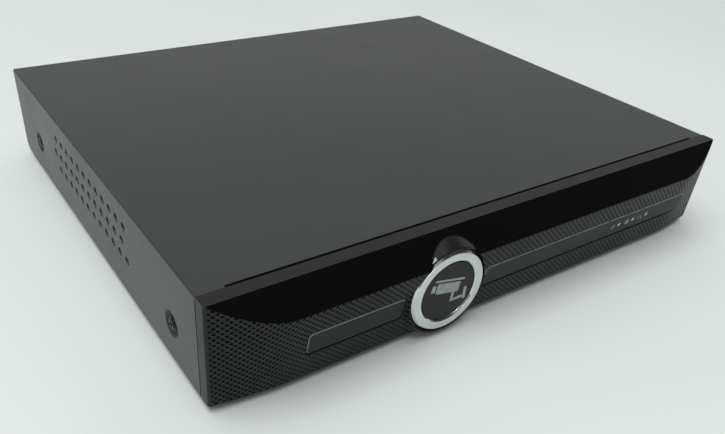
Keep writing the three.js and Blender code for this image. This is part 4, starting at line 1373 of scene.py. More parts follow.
@dataclass
class Bezel:
    """The moulded front: lip, polished sloping band, dimpled leaning face and the boss."""

    case: CaseFrame
    lip: float = 5.5
    wall: float = 2.4
    face_top: float = 10.1  # face ahead of the lip's edge, carried up to the case's top
    face_bottom: float = 2.9
    band_slope: float = 0.8
    end_run: float = 28.0
    end_pull: float = 19.0
    corner: float = 1.0  # radius of the upright edges
    boss_rim: float = 18.2
    boss_face: float = 7.0
    boss_flare: float = 4.3
    seat_radius: float = 17.5
    seat_depth: float = 5.5  # ring's seat ahead of the lip's edge
    strip_drop: float = 25.0
    strip_height: float = 9.8
    strip_corner: float = 1.2
    strip_pocket: float = 1.7
    strip_reach: float = 4.0  # right strip's run past its packed end, up to the curve
    latch_width: float = 8.0
    light_radius: float = 1.3

    SATIN, POLISHED, DIMPLED = 0, 1, 2

    @property
    def edge_y(self) -> float:
        """Front edge of the top lip."""
        return self.case.front - GAP - self.lip

    @property
    def lean(self) -> float:
        """Angle by which the face leans forward towards its top."""
        return math.atan((self.face_top - self.face_bottom) / (self.case.top - self.case.floor))

    @property
    def crest(self) -> float:
        """Height at which the band meets the face.

        Returns:
            The height.
        """
        rise = (self.face_top - self.face_bottom) / (self.case.top - self.case.floor)
        run = self.band_slope * self.case.top - self.face_bottom + rise * self.case.floor
        return run / (self.band_slope + rise)

    def face(self, z: float) -> float:
        """Depth of the leaning face ahead of the lip's edge at a height."""
        share = (z - self.case.floor) / (self.case.top - self.case.floor)
        return self.face_bottom + (self.face_top - self.face_bottom) * share

    def face_place(self) -> Matrix:
        """A place on the leaning face at the strips' centre line: right, up the face and out.

        Returns:
            The matrix from the place to the model's frame.
        """
        z = self.case.top - self.strip_drop
        lean = self.lean
        at = (0, self.edge_y - self.face(z), z)
        return facing(at, (0, -math.cos(lean), -math.sin(lean)))

    def strip_span(self, node: str) -> tuple[float, float]:
        """Left and right ends of a strip across the case."""
        low, high = packed_box(node)
        return low.x, high.x + (self.strip_reach if high.x > self.case.half / 2 else 0)

    def column(self, x: float, depth: float) -> tuple[list[Flat], list[int]]:
        """The bezel's section at one place across it.

        Args:
            x: place across the case.
            depth: how far inside the outer surface; zero for the surface itself.

        Returns:
            Points in (y, z) round the section, and the finish number of each run.
        """
        low, high = self.case.floor + depth, self.case.top - depth
        from_end = self.case.half - depth - abs(x)
        bend, pull = 2 * self.end_pull - self.end_run, 2 * self.end_pull
        t = (pull - math.sqrt(max(pull**2 - 4 * bend * from_end, 0))) / (2 * bend)
        sweep = 1.0 if from_end >= self.end_run else 2 * t - t**2
        near = max(self.corner - from_end, 0) if not depth else 0
        turned = self.corner - math.sqrt(max(self.corner**2 - near**2, 0))
        rise = (self.face_top - self.face_bottom) / (self.case.top - self.case.floor)
        shift = depth * math.hypot(1, self.band_slope)
        ahead = turned + depth

        def front(z: float) -> float:
            """Depth of the face at a height."""
            return ahead - self.face(z) * sweep

        level = self.face_bottom - rise * self.case.floor
        reach = ahead - shift - level * sweep + self.band_slope * self.case.top
        crest = min(reach / (self.band_slope + rise * sweep), high)
        edge = max(front(high), shift - self.band_slope * depth)
        rim = 0.0 if depth else 1.0
        corners = [
            Corner(self.lip + (1 if depth else 0), high, 0, self.SATIN),
            Corner(edge, high, 0.35 * rim, self.POLISHED),
            Corner(front(crest), crest, 0.5 * rim, self.DIMPLED),
            Corner(front(low), low, 0.7 * rim, self.SATIN),
            Corner(self.lip + (1 if depth else 0), low, 0, self.SATIN),
        ]
        return rounded(corners, 4)

    def shell(self, depth: float) -> Form:
        """The bezel's outer form, or the hollow at a depth inside it.

        Args:
            depth: how far inside the outer surface.

        Returns:
            The closed form.
        """
        half = self.case.half - depth
        turn = [half - self.corner * (1 - math.cos(math.pi / 2 * k / 6)) for k in range(6)]
        run = self.end_run - self.corner
        sweep = [half - self.corner - run * k / 24 for k in range(25)]
        right = turn + sweep if not depth else [half, *sweep]
        across = [-x for x in right] + right[::-1]
        sections = []
        finishes: list[int] = []
        for x in across:
            points, finishes = self.column(x, depth)
            sections.append([Vector((x, self.edge_y + y, z)) for y, z in points])
        form = Form().skin(sections, finishes, ring=True, caps=(0, 0))
        plain = self.case.half - self.corner * 0.9
        return form.repaint(self.SATIN, lambda f: abs(f.calc_center_median().x) > plain)

    def boss(self) -> Form:
        """The boss round the badge, whose flank runs into the band and the face in a fillet.

        Returns:
            The closed form.
        """
        centre = packed_centre("badge_ring")
        sections = []
        for i in range(120):
            angle = 2 * math.pi * i / 120
            across, rising = math.cos(angle), math.sin(angle)
            sections.append(
                [
                    Vector((centre.x + r * across, self.edge_y + y, centre.z + r * rising))
                    for r, y in self.flank(centre.z, rising)
                ]
            )
        form = Form().skin(sections, (self.DIMPLED,), wrap=True).clean()
        bm = form.bm
        for z, drop in ((self.case.floor, True), (self.crest, False)):
            cut = bmesh.ops.bisect_plane(
                bm,
                geom=bm.verts[:] + bm.edges[:] + bm.faces[:],
                plane_co=(0, 0, z),
                plane_no=(0, 0, -1),
                clear_outer=drop,
            )
            if drop:
                rim = [e for e in cut["geom_cut"] if isinstance(e, bmesh.types.BMEdge)]
                bmesh.ops.edgeloop_fill(bm, edges=rim)
        crest, rim = self.crest, self.boss_rim

        def is_hood(f: bmesh.types.BMFace) -> bool:
            """Whether a face lies on the boss above the crest."""
            at = f.calc_center_median()
            return at.z > crest and math.hypot(at.x - centre.x, at.z - centre.z) > rim - 0.15

        return form.repaint(self.POLISHED, is_hood)

    def flank(self, height: float, rising: float) -> list[Flat]:
        """The boss's section in one direction from the badge's axis.

        Args:
            height: height of the axis.
            rising: sine of the direction's angle above level.

        Returns:
            Points as (distance from the axis, depth behind the lip's edge).
        """
        top, slope = self.case.top, self.band_slope

        def ground(r: float) -> float:
            """Depth of the band or the face at a distance from the axis."""
            z = height + r * rising
            return max(-slope * (top - z), -self.face(z))

        # a ball rolls down the flank until it just touches the band or the face
        line = [Vector((15 + 0.1 * k, ground(15 + 0.1 * k))) for k in range(190)]
        high = min(max((rising - 0.35) / 0.35, 0), 1)
        low = min(max((-rising - 0.35) / 0.35, 0), 1)
        radius = 0.9 + 3.4 * high + 1.4 * low
        start = Vector((self.boss_rim, -self.boss_face))
        down = Vector((self.boss_flare, self.boss_face))
        out = Vector((down.y, -down.x)).normalized()
        near, far = 0.0, 1.3
        for _ in range(24):
            middle = (near + far) / 2
            ball = start + down * middle + out * radius
            clear = ball.y < ground(ball.x) and min((ball - p).length for p in line) > radius
            near, far = (middle, far) if clear else (near, middle)
        # where the boss hardly stands out, the flank simply sinks under the face
        stands_out = near > 0.06
        near = max(near, 0.06)
        ball = start + down * near + out * radius
        touch = min(line, key=lambda p: (ball - p).length)
        first, last = start + down * near - ball, touch - ball
        turn = math.atan2(last.y, last.x) - math.atan2(first.y, first.x)
        arc = []
        for k in range(9):
            a = math.atan2(first.y, first.x) + turn * k / 8
            on_ball = Vector((ball.x + radius * math.cos(a), ball.y + radius * math.sin(a)))
            arc.append(tuple(on_ball if stands_out else start + down * (near + 0.04 * k)))
        beyond = arc[-1][0] + 1.4
        sunk = (beyond, max(ground(beyond) + 0.09, arc[-1][1] + (0 if stands_out else 0.5)))
        lead = rounded(
            [
                Corner(0, -self.boss_face),
                Corner(start.x, start.y, 0.4),
                Corner(*(start + down * near)),
            ],
            3,
        )[0]
        return [*lead, *arc, sunk, (beyond, 1.5), (0, 1.5)]

    def build(self) -> Form:
        """Moulds the bezel: shell, boss, hollow, badge seat, strip pockets and latches.

        Returns:
            The bezel's form.
        """
        form = self.shell(0).combine(self.boss(), Cut.JOIN)
        form.combine(self.shell(self.wall), Cut.REMOVE)
        centre = packed_centre("badge_ring")
        at = (centre.x, self.edge_y - self.seat_depth, centre.z)
        seat = Form().lathe(
            [(0, 0), (self.seat_radius, 0), (self.seat_radius, 12), (0, 12)],
            facing(at, (0, -1, 0)),
            120,
            (self.SATIN,),
        )
        form.combine(seat, Cut.REMOVE)
        place = self.face_place()
        pockets, holes = Form(), Form()
        for node in ("left_strip", "indicator_strip"):
            left, right = self.strip_span(node)
            size = (right - left + 2 * GAP, self.strip_height + 2 * GAP)
            outline = cut_rectangle(*size, ((left + right) / 2, 0), self.strip_corner)
            levels = ((0, -self.strip_pocket), (0, -0.18), (-0.2, 0.02), (-0.2, 2))
            pockets.layers(outline, levels, place, (self.SATIN,) * 3)
        for x in status_light_places():
            holes.prism(circle(self.light_radius, (x, 0), 24), -8, -1, place)
        form.combine(pockets, Cut.REMOVE).combine(holes, Cut.REMOVE)
        return form.combine(self.latches(), Cut.JOIN)

    def latches(self) -> Form:
        """Four hooks under the front that snap into the tray.

        Returns:
            The hooks' form.
        """
        half = self.case.half
        base = self.case.floor + self.wall - 0.4
        end = self.edge_y + self.lip + 5
        hooks = Form()
        for x in (22 - half, -half / 3, half / 8, half - 22):
            left, right = x - self.latch_width / 2, x + self.latch_width / 2
            profile = [
                (self.edge_y + 1, base),
                (end - 0.4, base),
                (end, base + 0.4),
                (end, base + 2.4),
                (end - 0.6, base + 3),
                (end - 2, base + 2),
                (self.edge_y + 1, base + 2),
            ]
            sections = [[Vector((at, y, z)) for y, z in profile] for at in (left, right)]
            hooks.skin(sections, (0,), ring=True, caps=(0, 0))
        return hooks

    def dress(self) -> None:
        """Makes the bezel."""
        finishes = (SatinAbs(), PolishedAbs(), DimpledAbs())
        self.build().piece("bezel_moulding", finishes, "bezel_abs", ("front_bezel",))


def cut_rectangle(width: float, height: float, centre: Flat, cut: float) -> list[Flat]:
    """A rectangle's outline, anticlockwise, with its corners cut off.

    Args:
        width: its width.
        height: its height.
        centre: its middle.
        cut: how much of each side a corner takes.

    Returns:
        The outline's points.
    """
    w, h = width / 2, height / 2
    corners = [
        (w - cut, -h),
        (w, cut - h),
        (w, h - cut),
        (w - cut, h),
        (cut - w, h),
        (-w, h - cut),
        (-w, cut - h),
        (cut - w, -h),
    ]
    return [(centre[0] + x, centre[1] + y) for x, y in corners]


def status_light_places(count: int = 3, pitch: float = 9.6, margin: float = 21.4) -> list[float]:
    """Places of the status lights across the case, from the right strip's far end."""
    last = packed_box("indicator_strip")[1].x - margin
    return [last - pitch * (count - 1 - i) for i in range(count)]


# ---- badge and strips


@dataclass
class Badge:
    """The silver ring, the lacquered disc in it and the emblem printed on the disc."""

    bezel: Bezel
    ring_outer: float = 17.2
    ring_inner: float = 12.7
    ring_thickness: float = 1.7
    shoulder: float = 0.95
    bevel: float = 0.55
    disc_sink: float = 0.6
    ink: float = 0.05
    emblem_scale: float = 1.25
    tilt: float = 12.0  # degrees by which the emblem's camera looks down

    def place(self) -> Matrix:
        """A place at the middle of the ring's back, facing forward."""
        low, high = packed_box("badge_ring")
        return facing(((low.x + high.x) / 2, high.y, (low.z + high.z) / 2), (0, -1, 0))

    def build_ring(self) -> Form:
        """Turns the ring with its polished outer shoulder and inner bevel.

        Returns:
            The ring's form: 0 satin, 1 polished.
        """
        t = self.ring_thickness
        corners = [
            Corner(self.ring_inner, 0, 0, 1),
            Corner(self.ring_outer, 0, 0.1, 1),
            Corner(self.ring_outer, t - self.shoulder, 0.35, 1),
            Corner(self.ring_outer - self.shoulder, t, 0.5, 0),
            Corner(self.ring_inner + self.bevel, t, 0.15, 1),
            Corner(self.ring_inner, t - self.bevel, 0.2, 1),
            Corner(self.ring_inner, 0, 0, 1),
        ]
        points, finishes = rounded(corners, 5)
        return Form().lathe(points, self.place(), 144, finishes)

    def build_disc(self) -> Form:
        """Turns the disc.

        Returns:
            The disc's form.
        """
        edge = self.ring_inner - GAP
        high = self.ring_thickness - self.disc_sink
        corners = [Corner(0, 0), Corner(edge, 0), Corner(edge, high, 0.2), Corner(0, high)]
        return Form().lathe(rounded(corners)[0], self.place(), 120)

    def build_emblem(self) -> Form:
        """Prints a wall camera in outline: housing, hood, lens and bracket.

        Returns:
            The ink's form.
        """
        high = self.ring_thickness - self.disc_sink
        centre = self.place()
        tilted = centre @ Matrix.Rotation(math.radians(-self.tilt), 4, "Z")
        emblem = Form()
        grown = Matrix.Diagonal((self.emblem_scale, self.emblem_scale, 1, 1))
        tilted, centre = tilted @ grown, centre @ grown
        levels = (high + 0.005, high + self.ink)
        housing = rectangle(9.4, 3.6, (-0.6, 1.2), 0.8)
        hood = [(-6.6, 3.5), (5.2, 3.5), (5.2, 4.2), (-6.6, 4.2)]
        lens = rectangle(1.5, 2.4, (-6.5, 1.2), 0.3)
        for outline in (housing, hood, lens):
            emblem.prism(outline, *levels, tilted)
        arm = [(1.2, -3.5), (2.3, -3.5), (2.6, -1.3), (1.5, -1.1)]
        foot = rectangle(1.2, 4.4, (6.9, -2.9), 0.2)
        bar = [(1.2, -4.4), (6.0, -4.4), (6.0, -3.4), (1.2, -3.4)]
        for outline in (arm, foot, bar):
            emblem.prism(outline, *levels, centre)
        return emblem

    def dress(self) -> None:
        """Makes the ring, the disc and the emblem."""
        plate = (SatinChrome(), PolishedChrome())
        self.build_ring().piece("ring_plated", plate, "silver_ring", ("badge_ring",), sharp=50)
        self.build_disc().piece("disc_lacquered", (SatinLacquer(),), "strip_plastic", ("badge_disc",))
        self.build_emblem().piece("disc_emblem", (SilverInk(),), "silver_ring")


@dataclass
class Strips:
    """The two inlaid strips, the light guide behind the right one and its printed symbols."""

    bezel: Bezel
    thickness: float = 1.2
    clear: float = 0.2
    edge: float = 0.35
    peg: float = 1.0
    ink: float = 0.04
    symbol_lead: float = 4.4  # by which each symbol stands left of its light

    def build_strip(self, node: str) -> Form:
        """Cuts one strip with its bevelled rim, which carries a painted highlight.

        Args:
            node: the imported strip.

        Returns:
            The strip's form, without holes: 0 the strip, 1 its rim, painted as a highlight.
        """
        bezel = self.bezel
        left, right = bezel.strip_span(node)
        centre = ((left + right) / 2, 0.0)
        outline = cut_rectangle(right - left, bezel.strip_height, centre, bezel.strip_corner)
        front, edge = -self.clear, self.edge
        rows = ((0, -self.thickness - self.clear), (0, front - edge), (edge * 0.3, front - edge * 0.3))
        rows = (*rows, (edge, front), (edge + 0.05, front))
        place = bezel.face_place()
        form = Form().layers(outline, rows, place)
        level = front - 0.05
        turned = place.inverted()

        def is_rim(f: bmesh.types.BMFace) -> bool:
            """Whether a face lies on the bevelled rim, which is painted as a highlight."""
            return level > (turned @ f.calc_center_median()).z > front - edge

        return form.repaint(1, is_rim)

    def build_guide(self) -> Form:
        """Moulds the light guide: a bar behind the strip with a domed peg for each light.

        Returns:
            The guide's form.
        """
        place = self.bezel.face_place()
        lights = status_light_places()
        bar_top = -self.bezel.wall - GAP - 0.4
        width = lights[-1] - lights[0] + 8
        middle = ((lights[0] + lights[-1]) / 2, 0)
        guide = Form().prism(rectangle(width, 6, middle, 0.8), bar_top - 1.5, bar_top, place, 0.2)
        pegs = Form()
        for x in lights:
            dome = [
                Corner(0, bar_top - 0.5),
                Corner(self.peg, bar_top - 0.5),
                Corner(self.peg, -self.clear - 0.05, 0.3),
                Corner(0, -self.clear + 0.05),
            ]
            pegs.lathe(rounded(dome)[0], place @ Matrix.Translation((x, 0, 0)), 28)
        return guide.combine(pegs, Cut.JOIN)

    def symbol(self, number: int) -> list[list[Flat]]:
        """Flat outlines of a light's symbol: power, disk or network.

        Args:
            number: which light, from the left.

        Returns:
            Closed outlines about the symbol's middle.
        """
        if number == 0:
            gap = math.radians(38)
            angles = [math.pi / 2 + gap + (2 * math.pi - 2 * gap) * k / 20 for k in range(21)]
            arc = [(1.15 * math.cos(a), 1.15 * math.sin(a)) for a in angles]
            back = [(0.8 * math.cos(a), 0.8 * math.sin(a)) for a in reversed(angles)]
            bar = rectangle(0.36, 1.3, (0, 0.75))
            return [arc + back, bar]
        if number == 1:
            return [rectangle(2.6, 0.62, (0, 0.85 * k), 0.2) for k in (-1, 0, 1)]
        nodes = [circle(0.42, at, 16) for at in ((0, 0.8), (-1.0, -0.8), (1.0, -0.8))]
        links = [
            [(-0.1, 0.8), (-1.08, -0.7), (-0.88, -0.82), (0.12, 0.68)],
            [(-0.12, 0.68), (0.88, -0.82), (1.08, -0.7), (0.1, 0.8)],
        ]
        return nodes + links

    def dress(self) -> None:
        """Makes both strips, the light guide and the symbols."""
        place = self.bezel.face_place()
        left = self.build_strip("left_strip")
        # the rim's finish is a painted highlight along the strips' edges
        made = (StripAbs(), PaintedHighlightRim())
        left.piece("strip_left_moulded", made, "strip_plastic", ("left_strip",))
        right = self.build_strip("indicator_strip")
        holes = Form()
        for x in status_light_places():
            holes.prism(circle(self.peg + GAP * 0.5, (x, 0), 28), -4, 1, place)
        right.combine(holes, Cut.REMOVE)
        right.piece("strip_right_moulded", made, "strip_plastic", ("indicator_strip",))
        guide = self.build_guide()
        guide.piece("guide_moulded", (DiffuserPolycarbonate(),), "light_guide_clear", ("light_guide",))
        ink = Form()
        for number, x in enumerate(status_light_places()):
            for outline in self.symbol(number):
                at = place @ Matrix.Translation((x - self.symbol_lead, 0, 0))
                ink.prism(outline, -self.clear + 0.004, -self.clear + self.ink, at)
        ink.piece("strip_symbols", (SilverInk(),), "silver_ring")


# ---- feet and tray


@dataclass
class Feet:
    """Four pressed-in rubber feet, hollowed below like a suction cup."""

    height: float = 2.7
    peg: float = 2.5
    reach: float = 5.0

    def form(self, node: str) -> Form:
        """Turns one foot.

        Args:
            node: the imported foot, whose place it takes.

        Returns:
            The foot's form.
        """
        low, high = packed_box(node)
        centre, r = (low + high) / 2, (high.x - low.x) / 2
        corners = [
            Corner(0, 1.3),
            Corner(r * 0.38, 1.1, 0.5),
            Corner(r * 0.5, 0, 0.4),
            Corner(r * 0.66, 0, 0.15),
            Corner(r * 0.68, 0.25, 0.1),
            Corner(r * 0.72, 0.25, 0.1),
            Corner(r * 0.74, 0, 0.15),
            Corner(r - 0.7, 0, 0.9),
            Corner(r, 1.2, 0.5),
            Corner(r - 0.25, self.height, 0.3),
            Corner(self.peg, self.height),
            Corner(self.peg, self.reach - 0.8, 0.3),
            Corner(self.peg - 0.7, self.reach, 0.3),
            Corner(0, self.reach),
        ]
        return Form().lathe(rounded(corners, 4)[0], Matrix.Translation((centre.x, centre.y, 0)), 64)

    def dress(self) -> None:
        """Makes all four feet."""
        for end in ("front", "rear"):
            for side in ("left", "right"):
                node = f"foot_{end}_{side}"
                self.form(node).piece(f"{node}_moulded", (FootRubber(),), "foot_rubber", (node,))


@dataclass
class PackedParts:
    """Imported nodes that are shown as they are: welded, their edges broken, and dressed."""

    nodes: dict[str, Object]

    def keep(self, finish: Finish, names: Iterable[str], edge: float = 0.12) -> None:
        """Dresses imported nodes.

        Args:
            finish: what they are made of.
            names: the nodes.
            edge: radius that breaks their edges, in millimetres; zero leaves them sharp.
        """
        for name in names:
            node = self.nodes[name]
            node.data.materials.clear()
            node.data.materials.append(finish.material())
            weld = node.modifiers.new("weld", "WELD")
            weld.merge_threshold = 0.002 * MM
            if edge:
                bevel = node.modifiers.new("edges", "BEVEL")
                bevel.width, bevel.segments = edge * MM, 2
                bevel.limit_method, bevel.angle_limit = "ANGLE", math.radians(50)
                bevel.harden_normals = False
            log.info("%s kept", name)

    def dress(self) -> None:
        """Dresses the tray and everything inside the case."""
        self.keep(GalvanisedSheet(), ("base_tray",), 0.15)
        self.keep(GalvanisedSheet(), ("disk_lid", "magnet_yoke"))
        self.keep(CastAluminium(), ("disk_casting", "spindle_hub", "actuator_arm", "heat_sink"))
        self.keep(SputteredPlatter(), ("disk_platter",))
        self.keep(SolderMask(), ("main_board", "disk_board", "light_board"), 0.05)
        self.keep(BlackNylon(), ("bnc_housing", "battery_holder", "buzzer", "processor"))
        self.keep(NickelPlate(), ("coin_cell",))
        self.keep(RedPvc(), ("sata_data_lead",), 0)
        self.keep(BlackPvc(), ("sata_power_lead", "switch_lead"), 0)
        self.keep(GreyRibbon(), ("front_ribbon",), 0)


# ---- rear sockets


def depthwise() -> Matrix:
    """A place whose outlines are drawn as (x, z) and stood up towards the rear."""
    return Matrix(((1, 0, 0), (0, 0, 1), (0, 1, 0))).to_4x4()


def rear_block(node: str, radius: float) -> tuple[list[Flat], Flat, float, float]:
    """What a block at the rear is drawn from.

    Args:
        node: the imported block.
        radius: radius of its corners, seen from behind.

    Returns:
        Its outline and its middle as (x, z), its back and its face.
    """
    low, high = packed_box(node)
    middle = ((low.x + high.x) / 2, (low.z + high.z) / 2)
    outline = rectangle(high.x - low.x, high.z - low.z, middle, radius)
    return outline, middle, low.y, high.y


@dataclass
class VideoSocket:
    """A panel BNC socket: nickel body, nut and bayonet lugs, white insulator, gold contact."""

    reach: float = 11.0  # beyond the panel
    neck: float = 5.9
    barrel: float = 4.85
    wall: float = 0.75
    insulator: float = 2.3
    contact: float = 0.95
    nut: float = 7.6
    lug: float = 0.95

    def form(self, node: str) -> Form:
        """Turns the socket, and adds its nut, washer and lugs.

        Args:
            node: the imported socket, whose place it takes.

        Returns:
            The socket's form: 0 nickel, 1 white insulator, 2 gold.
        """
        low, high = packed_box(node)
        centre = (low + high) / 2
        panel = high.y - self.reach
        place = facing((centre.x, panel, centre.z), (0, 1, 0))
        inner, tip = self.barrel - self.wall, self.reach
        corners = [
            Corner(0, low.y - panel),
            Corner(self.neck, low.y - panel, 0.3),
            Corner(self.neck, 2.4, 0.25),
            Corner(self.barrel, 3.0, 0.3),
            Corner(self.barrel, 4.2, 0.1),
            Corner(self.barrel - 0.22, 4.4, 0.1),
            Corner(self.barrel - 0.22, tip - 0.4, 0.2),
            Corner(self.barrel - 0.5, tip, 0.15),
            Corner(inner, tip - 0.25, 0.2),
            Corner(inner, 3.2, 0, 1),
            Corner(self.insulator, 3.2, 0, 1),
            Corner(self.insulator, tip - 1.6, 0.3, 1),
            Corner(self.contact, tip - 1.6, 0.1, 2),
            Corner(self.contact, tip - 1.9, 0, 2),
            Corner(self.contact - 0.3, tip - 2.2, 0, 2),
            Corner(self.contact - 0.3, tip - 5, 0, 2),
            Corner(0, tip - 5, 0, 2),
        ]
        points, finishes = rounded(corners, 3)
        form = Form().lathe(points, place, 56, finishes)
        hexagon = circle(self.nut, steps=6)
        form.prism(hexagon, GAP + 0.5, 2.4, place, 0.3)
        form.prism(circle(self.nut * 0.95, steps=40), GAP, GAP + 0.5, place)
        for side in (-1, 1):
            at = place @ Matrix.Translation((0, 0, tip - 3))
            turned = at @ Matrix.Rotation(side * math.pi / 2, 4, "Y")
            form.prism(circle(self.lug, steps=20), inner + 0.1, self.barrel + 1, turned, 0.3)
        return form

    def dress(self) -> None:
        """Makes the four video sockets."""
        plated = (NickelPlate(), WhiteNylon(), GoldPlate())
        for i in range(1, 5):
            node = f"bnc_socket_{i}"
            self.form(node).piece(f"{node}_turned", plated, "nickel", (node,))


@dataclass
class AudioSockets:
    """Two cinch sockets, coloured by channel, in one moulded block."""

    reach: float = 8.5
    barrel: float = 4.15
    neck: float = 3.0

    def form(self, node: str) -> Form:
        """Turns one socket: 0 coloured plastic, 1 nickel sleeve, 2 black bottom.

        Args:
            node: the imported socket, whose place it takes.

        Returns:
            The socket's form.
        """
        low, high = packed_box(node)
        centre = (low + high) / 2
        base = high.y - self.reach
        r, tip = self.barrel, self.reach
        corners = [
            Corner(0, low.y - base),
            Corner(self.neck, low.y - base),
            Corner(self.neck, GAP),
            Corner(r, GAP, 0.1),
            Corner(r, 1.3, 0.25, 0),
            Corner(r - 0.25, 1.3, 0, 1),
            Corner(r - 0.25, tip - 0.3, 0.15, 1),
            Corner(r - 0.45, tip, 0.1, 1),
            Corner(r - 0.65, tip - 0.2, 0.1, 1),
            Corner(r - 0.7, tip - 1.2, 0, 0),
            Corner(1.95, tip - 1.2, 0.15, 0),
            Corner(1.85, tip - 1.5, 0, 1),
            Corner(1.6, tip - 1.5, 0, 1),
            Corner(1.6, 1.0, 0, 2),
            Corner(0, 1.0, 0, 2),
        ]
        points, finishes = rounded(corners, 3)
        return Form().lathe(points, facing((centre.x, base, centre.z), (0, 1, 0)), 56, finishes)

    def housing(self) -> Form:
        """Moulds the block, with a bore for each socket and a parting groove between them.

        Returns:
            The block's form.
        """
        low, high = packed_box("audio_housing")
        outline, centre, back, face = rear_block("audio_housing", 0.6)
        form = Form().prism(outline, back, face, depthwise(), 0.35, 0.3)
        cuts = Form()
        for node in ("audio_socket_in", "audio_socket_out"):
            at = packed_centre(node)
            cuts.prism(circle(self.neck + GAP, (at.x, at.z)), high.y - 6, high.y + 1, depthwise())
        middle = centre[1]
        cuts.block((low.x - 1, high.y - 0.5, middle - 0.3), (high.x + 1, high.y + 1, middle + 0.3))
        return form.combine(cuts, Cut.REMOVE)

    def dress(self) -> None:
        """Makes both sockets and their block."""
        for node, colour, slot in (
            ("audio_socket_in", WhiteNylon(), "audio_white"),
            ("audio_socket_out", RedNylon(), "audio_red"),
        ):
            made = (colour, NickelPlate(), BlackNylon())
            self.form(node).piece(f"{node}_turned", made, slot, (node,))
        made = (BlackNylon(),)
        self.housing().piece("audio_block", made, "socket_plastic", ("audio_housing",))


class Mouth(NamedTuple):
    """An opening of a shell socket, measured from the socket's foot."""

    height: float
    size: Flat
    cut: float
    tongue: Flat
    shift: float  # of the tongue above the mouth's middle
    contacts: int


class Shell(Enum):
    """The shell sockets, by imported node, with their mouths."""

    SCREEN = ("hdmi_socket", (Mouth(3.1, (14, 4.7), 1.0, (11.4, 1.3), 0.4, 10),))
    DATA = (
        "usb_socket",
        tuple(Mouth(z, (12.6, 5.2), 0.3, (11.2, 1.9), 1.0, 4) for z in (4.0, 11.8)),
    )


@dataclass
class ShellSocket:
    """A socket in a folded metal shell, with a contact tongue in each mouth."""

    kind: Shell
    corner: float = 0.7
    depth: float = 10.0
    lip: float = 0.3

    def mouth_outline(self, at: Flat, mouth: Mouth) -> list[Flat]:
        """A mouth's outline about its middle: lower corners cut as deep as the kind's are.

        Args:
            at: the middle, as (x, z).
            mouth: the mouth's sizes.

        Returns:
            The outline's points.
        """
        w, h = mouth.size[0] / 2, mouth.size[1] / 2
        cut, soft = mouth.cut, 0.25
        corners = [
            Corner(cut - w, -h, soft),
            Corner(w - cut, -h, soft),
            Corner(w, cut * 1.2 - h, soft),
            Corner(w, h, soft),
            Corner(-w, h, soft),
            Corner(-w, cut * 1.2 - h, soft),
        ]
        return [(at[0] + a, at[1] + b) for a, b in rounded(corners, 3, ring=True)[0]]

    def form(self) -> Form:
        """Folds the shell and adds tongues, contacts and springs.

        Returns:
            The socket's form: 0 nickel, 1 black plastic, 2 gold.
        """
        node, mouths = self.kind.value
        low, high = packed_box(node)
        x = (low.x + high.x) / 2
        size = (high.x - low.x, high.z - low.z)
        outer = rectangle(*size, (x, (low.z + high.z) / 2), self.corner)
        form = Form().prism(outer, low.y, high.y, depthwise(), 0.2, 0.2)
        cuts = Form()
        for mouth in mouths:
            outline = self.mouth_outline((x, low.z + mouth.height), mouth)
            face, flare = high.y, -self.lip * 0.6
            levels = (
                (0, face - self.depth),
                (0, face - self.lip),
                (flare, face + 0.01),
                (flare, face + 1),
            )
            cuts.layers(outline, levels, depthwise(), (0, 1, 0))
        form.combine(cuts, Cut.REMOVE)
        for mouth in mouths:
            self.fill(form, (x, low.z + mouth.height), mouth, high.y)
        return form

    def fill(self, form: Form, at: Flat, mouth: Mouth, face: float) -> None:
        """Adds the tongue, its contacts and the shell's springs to one mouth.

        Args:
            form: the socket's form.
            at: middle of the mouth, as (x, z).
            mouth: the mouth's sizes.
            face: y of the socket's face.
        """
        x, z = at[0], at[1] + mouth.shift
        width, height = mouth.tongue
        tongue = rectangle(width, height, (x, z), 0.15, 2)
        made = (1, 1, 1)
        form.prism(tongue, face - self.depth - 0.5, face - 1.2, depthwise(), 0.25, 0, made)
        pitch = width / (mouth.contacts + 0.5)
        for i in range(mouth.contacts):
            middle = x + (i - (mouth.contacts - 1) / 2) * pitch
            near, far = (middle - pitch * 0.22, middle + pitch * 0.22)
            foot = z - height / 2
            form.block((near, face - self.depth, foot - 0.1), (far, face - 2, foot + 0.05), 0, 2)
        for side in (-1, 1):
            middle, foot = x + side * mouth.size[0] * 0.27, at[1] - mouth.size[1] / 2
            leaf = [(-7, -0.05), (-6, 0.2), (-3, 0.42), (-1.2, 0.05), (-1.2, -0.05)]
            sections = [
                [Vector((middle + across, face + y, foot + h)) for y, h in leaf]
                for across in (-0.8, 0.8)
            ]
            form.skin(sections, (0,), ring=True, caps=(0, 0))

    def dress(self) -> None:
        """Makes the socket."""
        node = self.kind.value[0]
        made = (NickelPlate(), BlackNylon(), GoldPlate())
        self.form().piece(f"{node}_folded", made, "nickel", (node,))


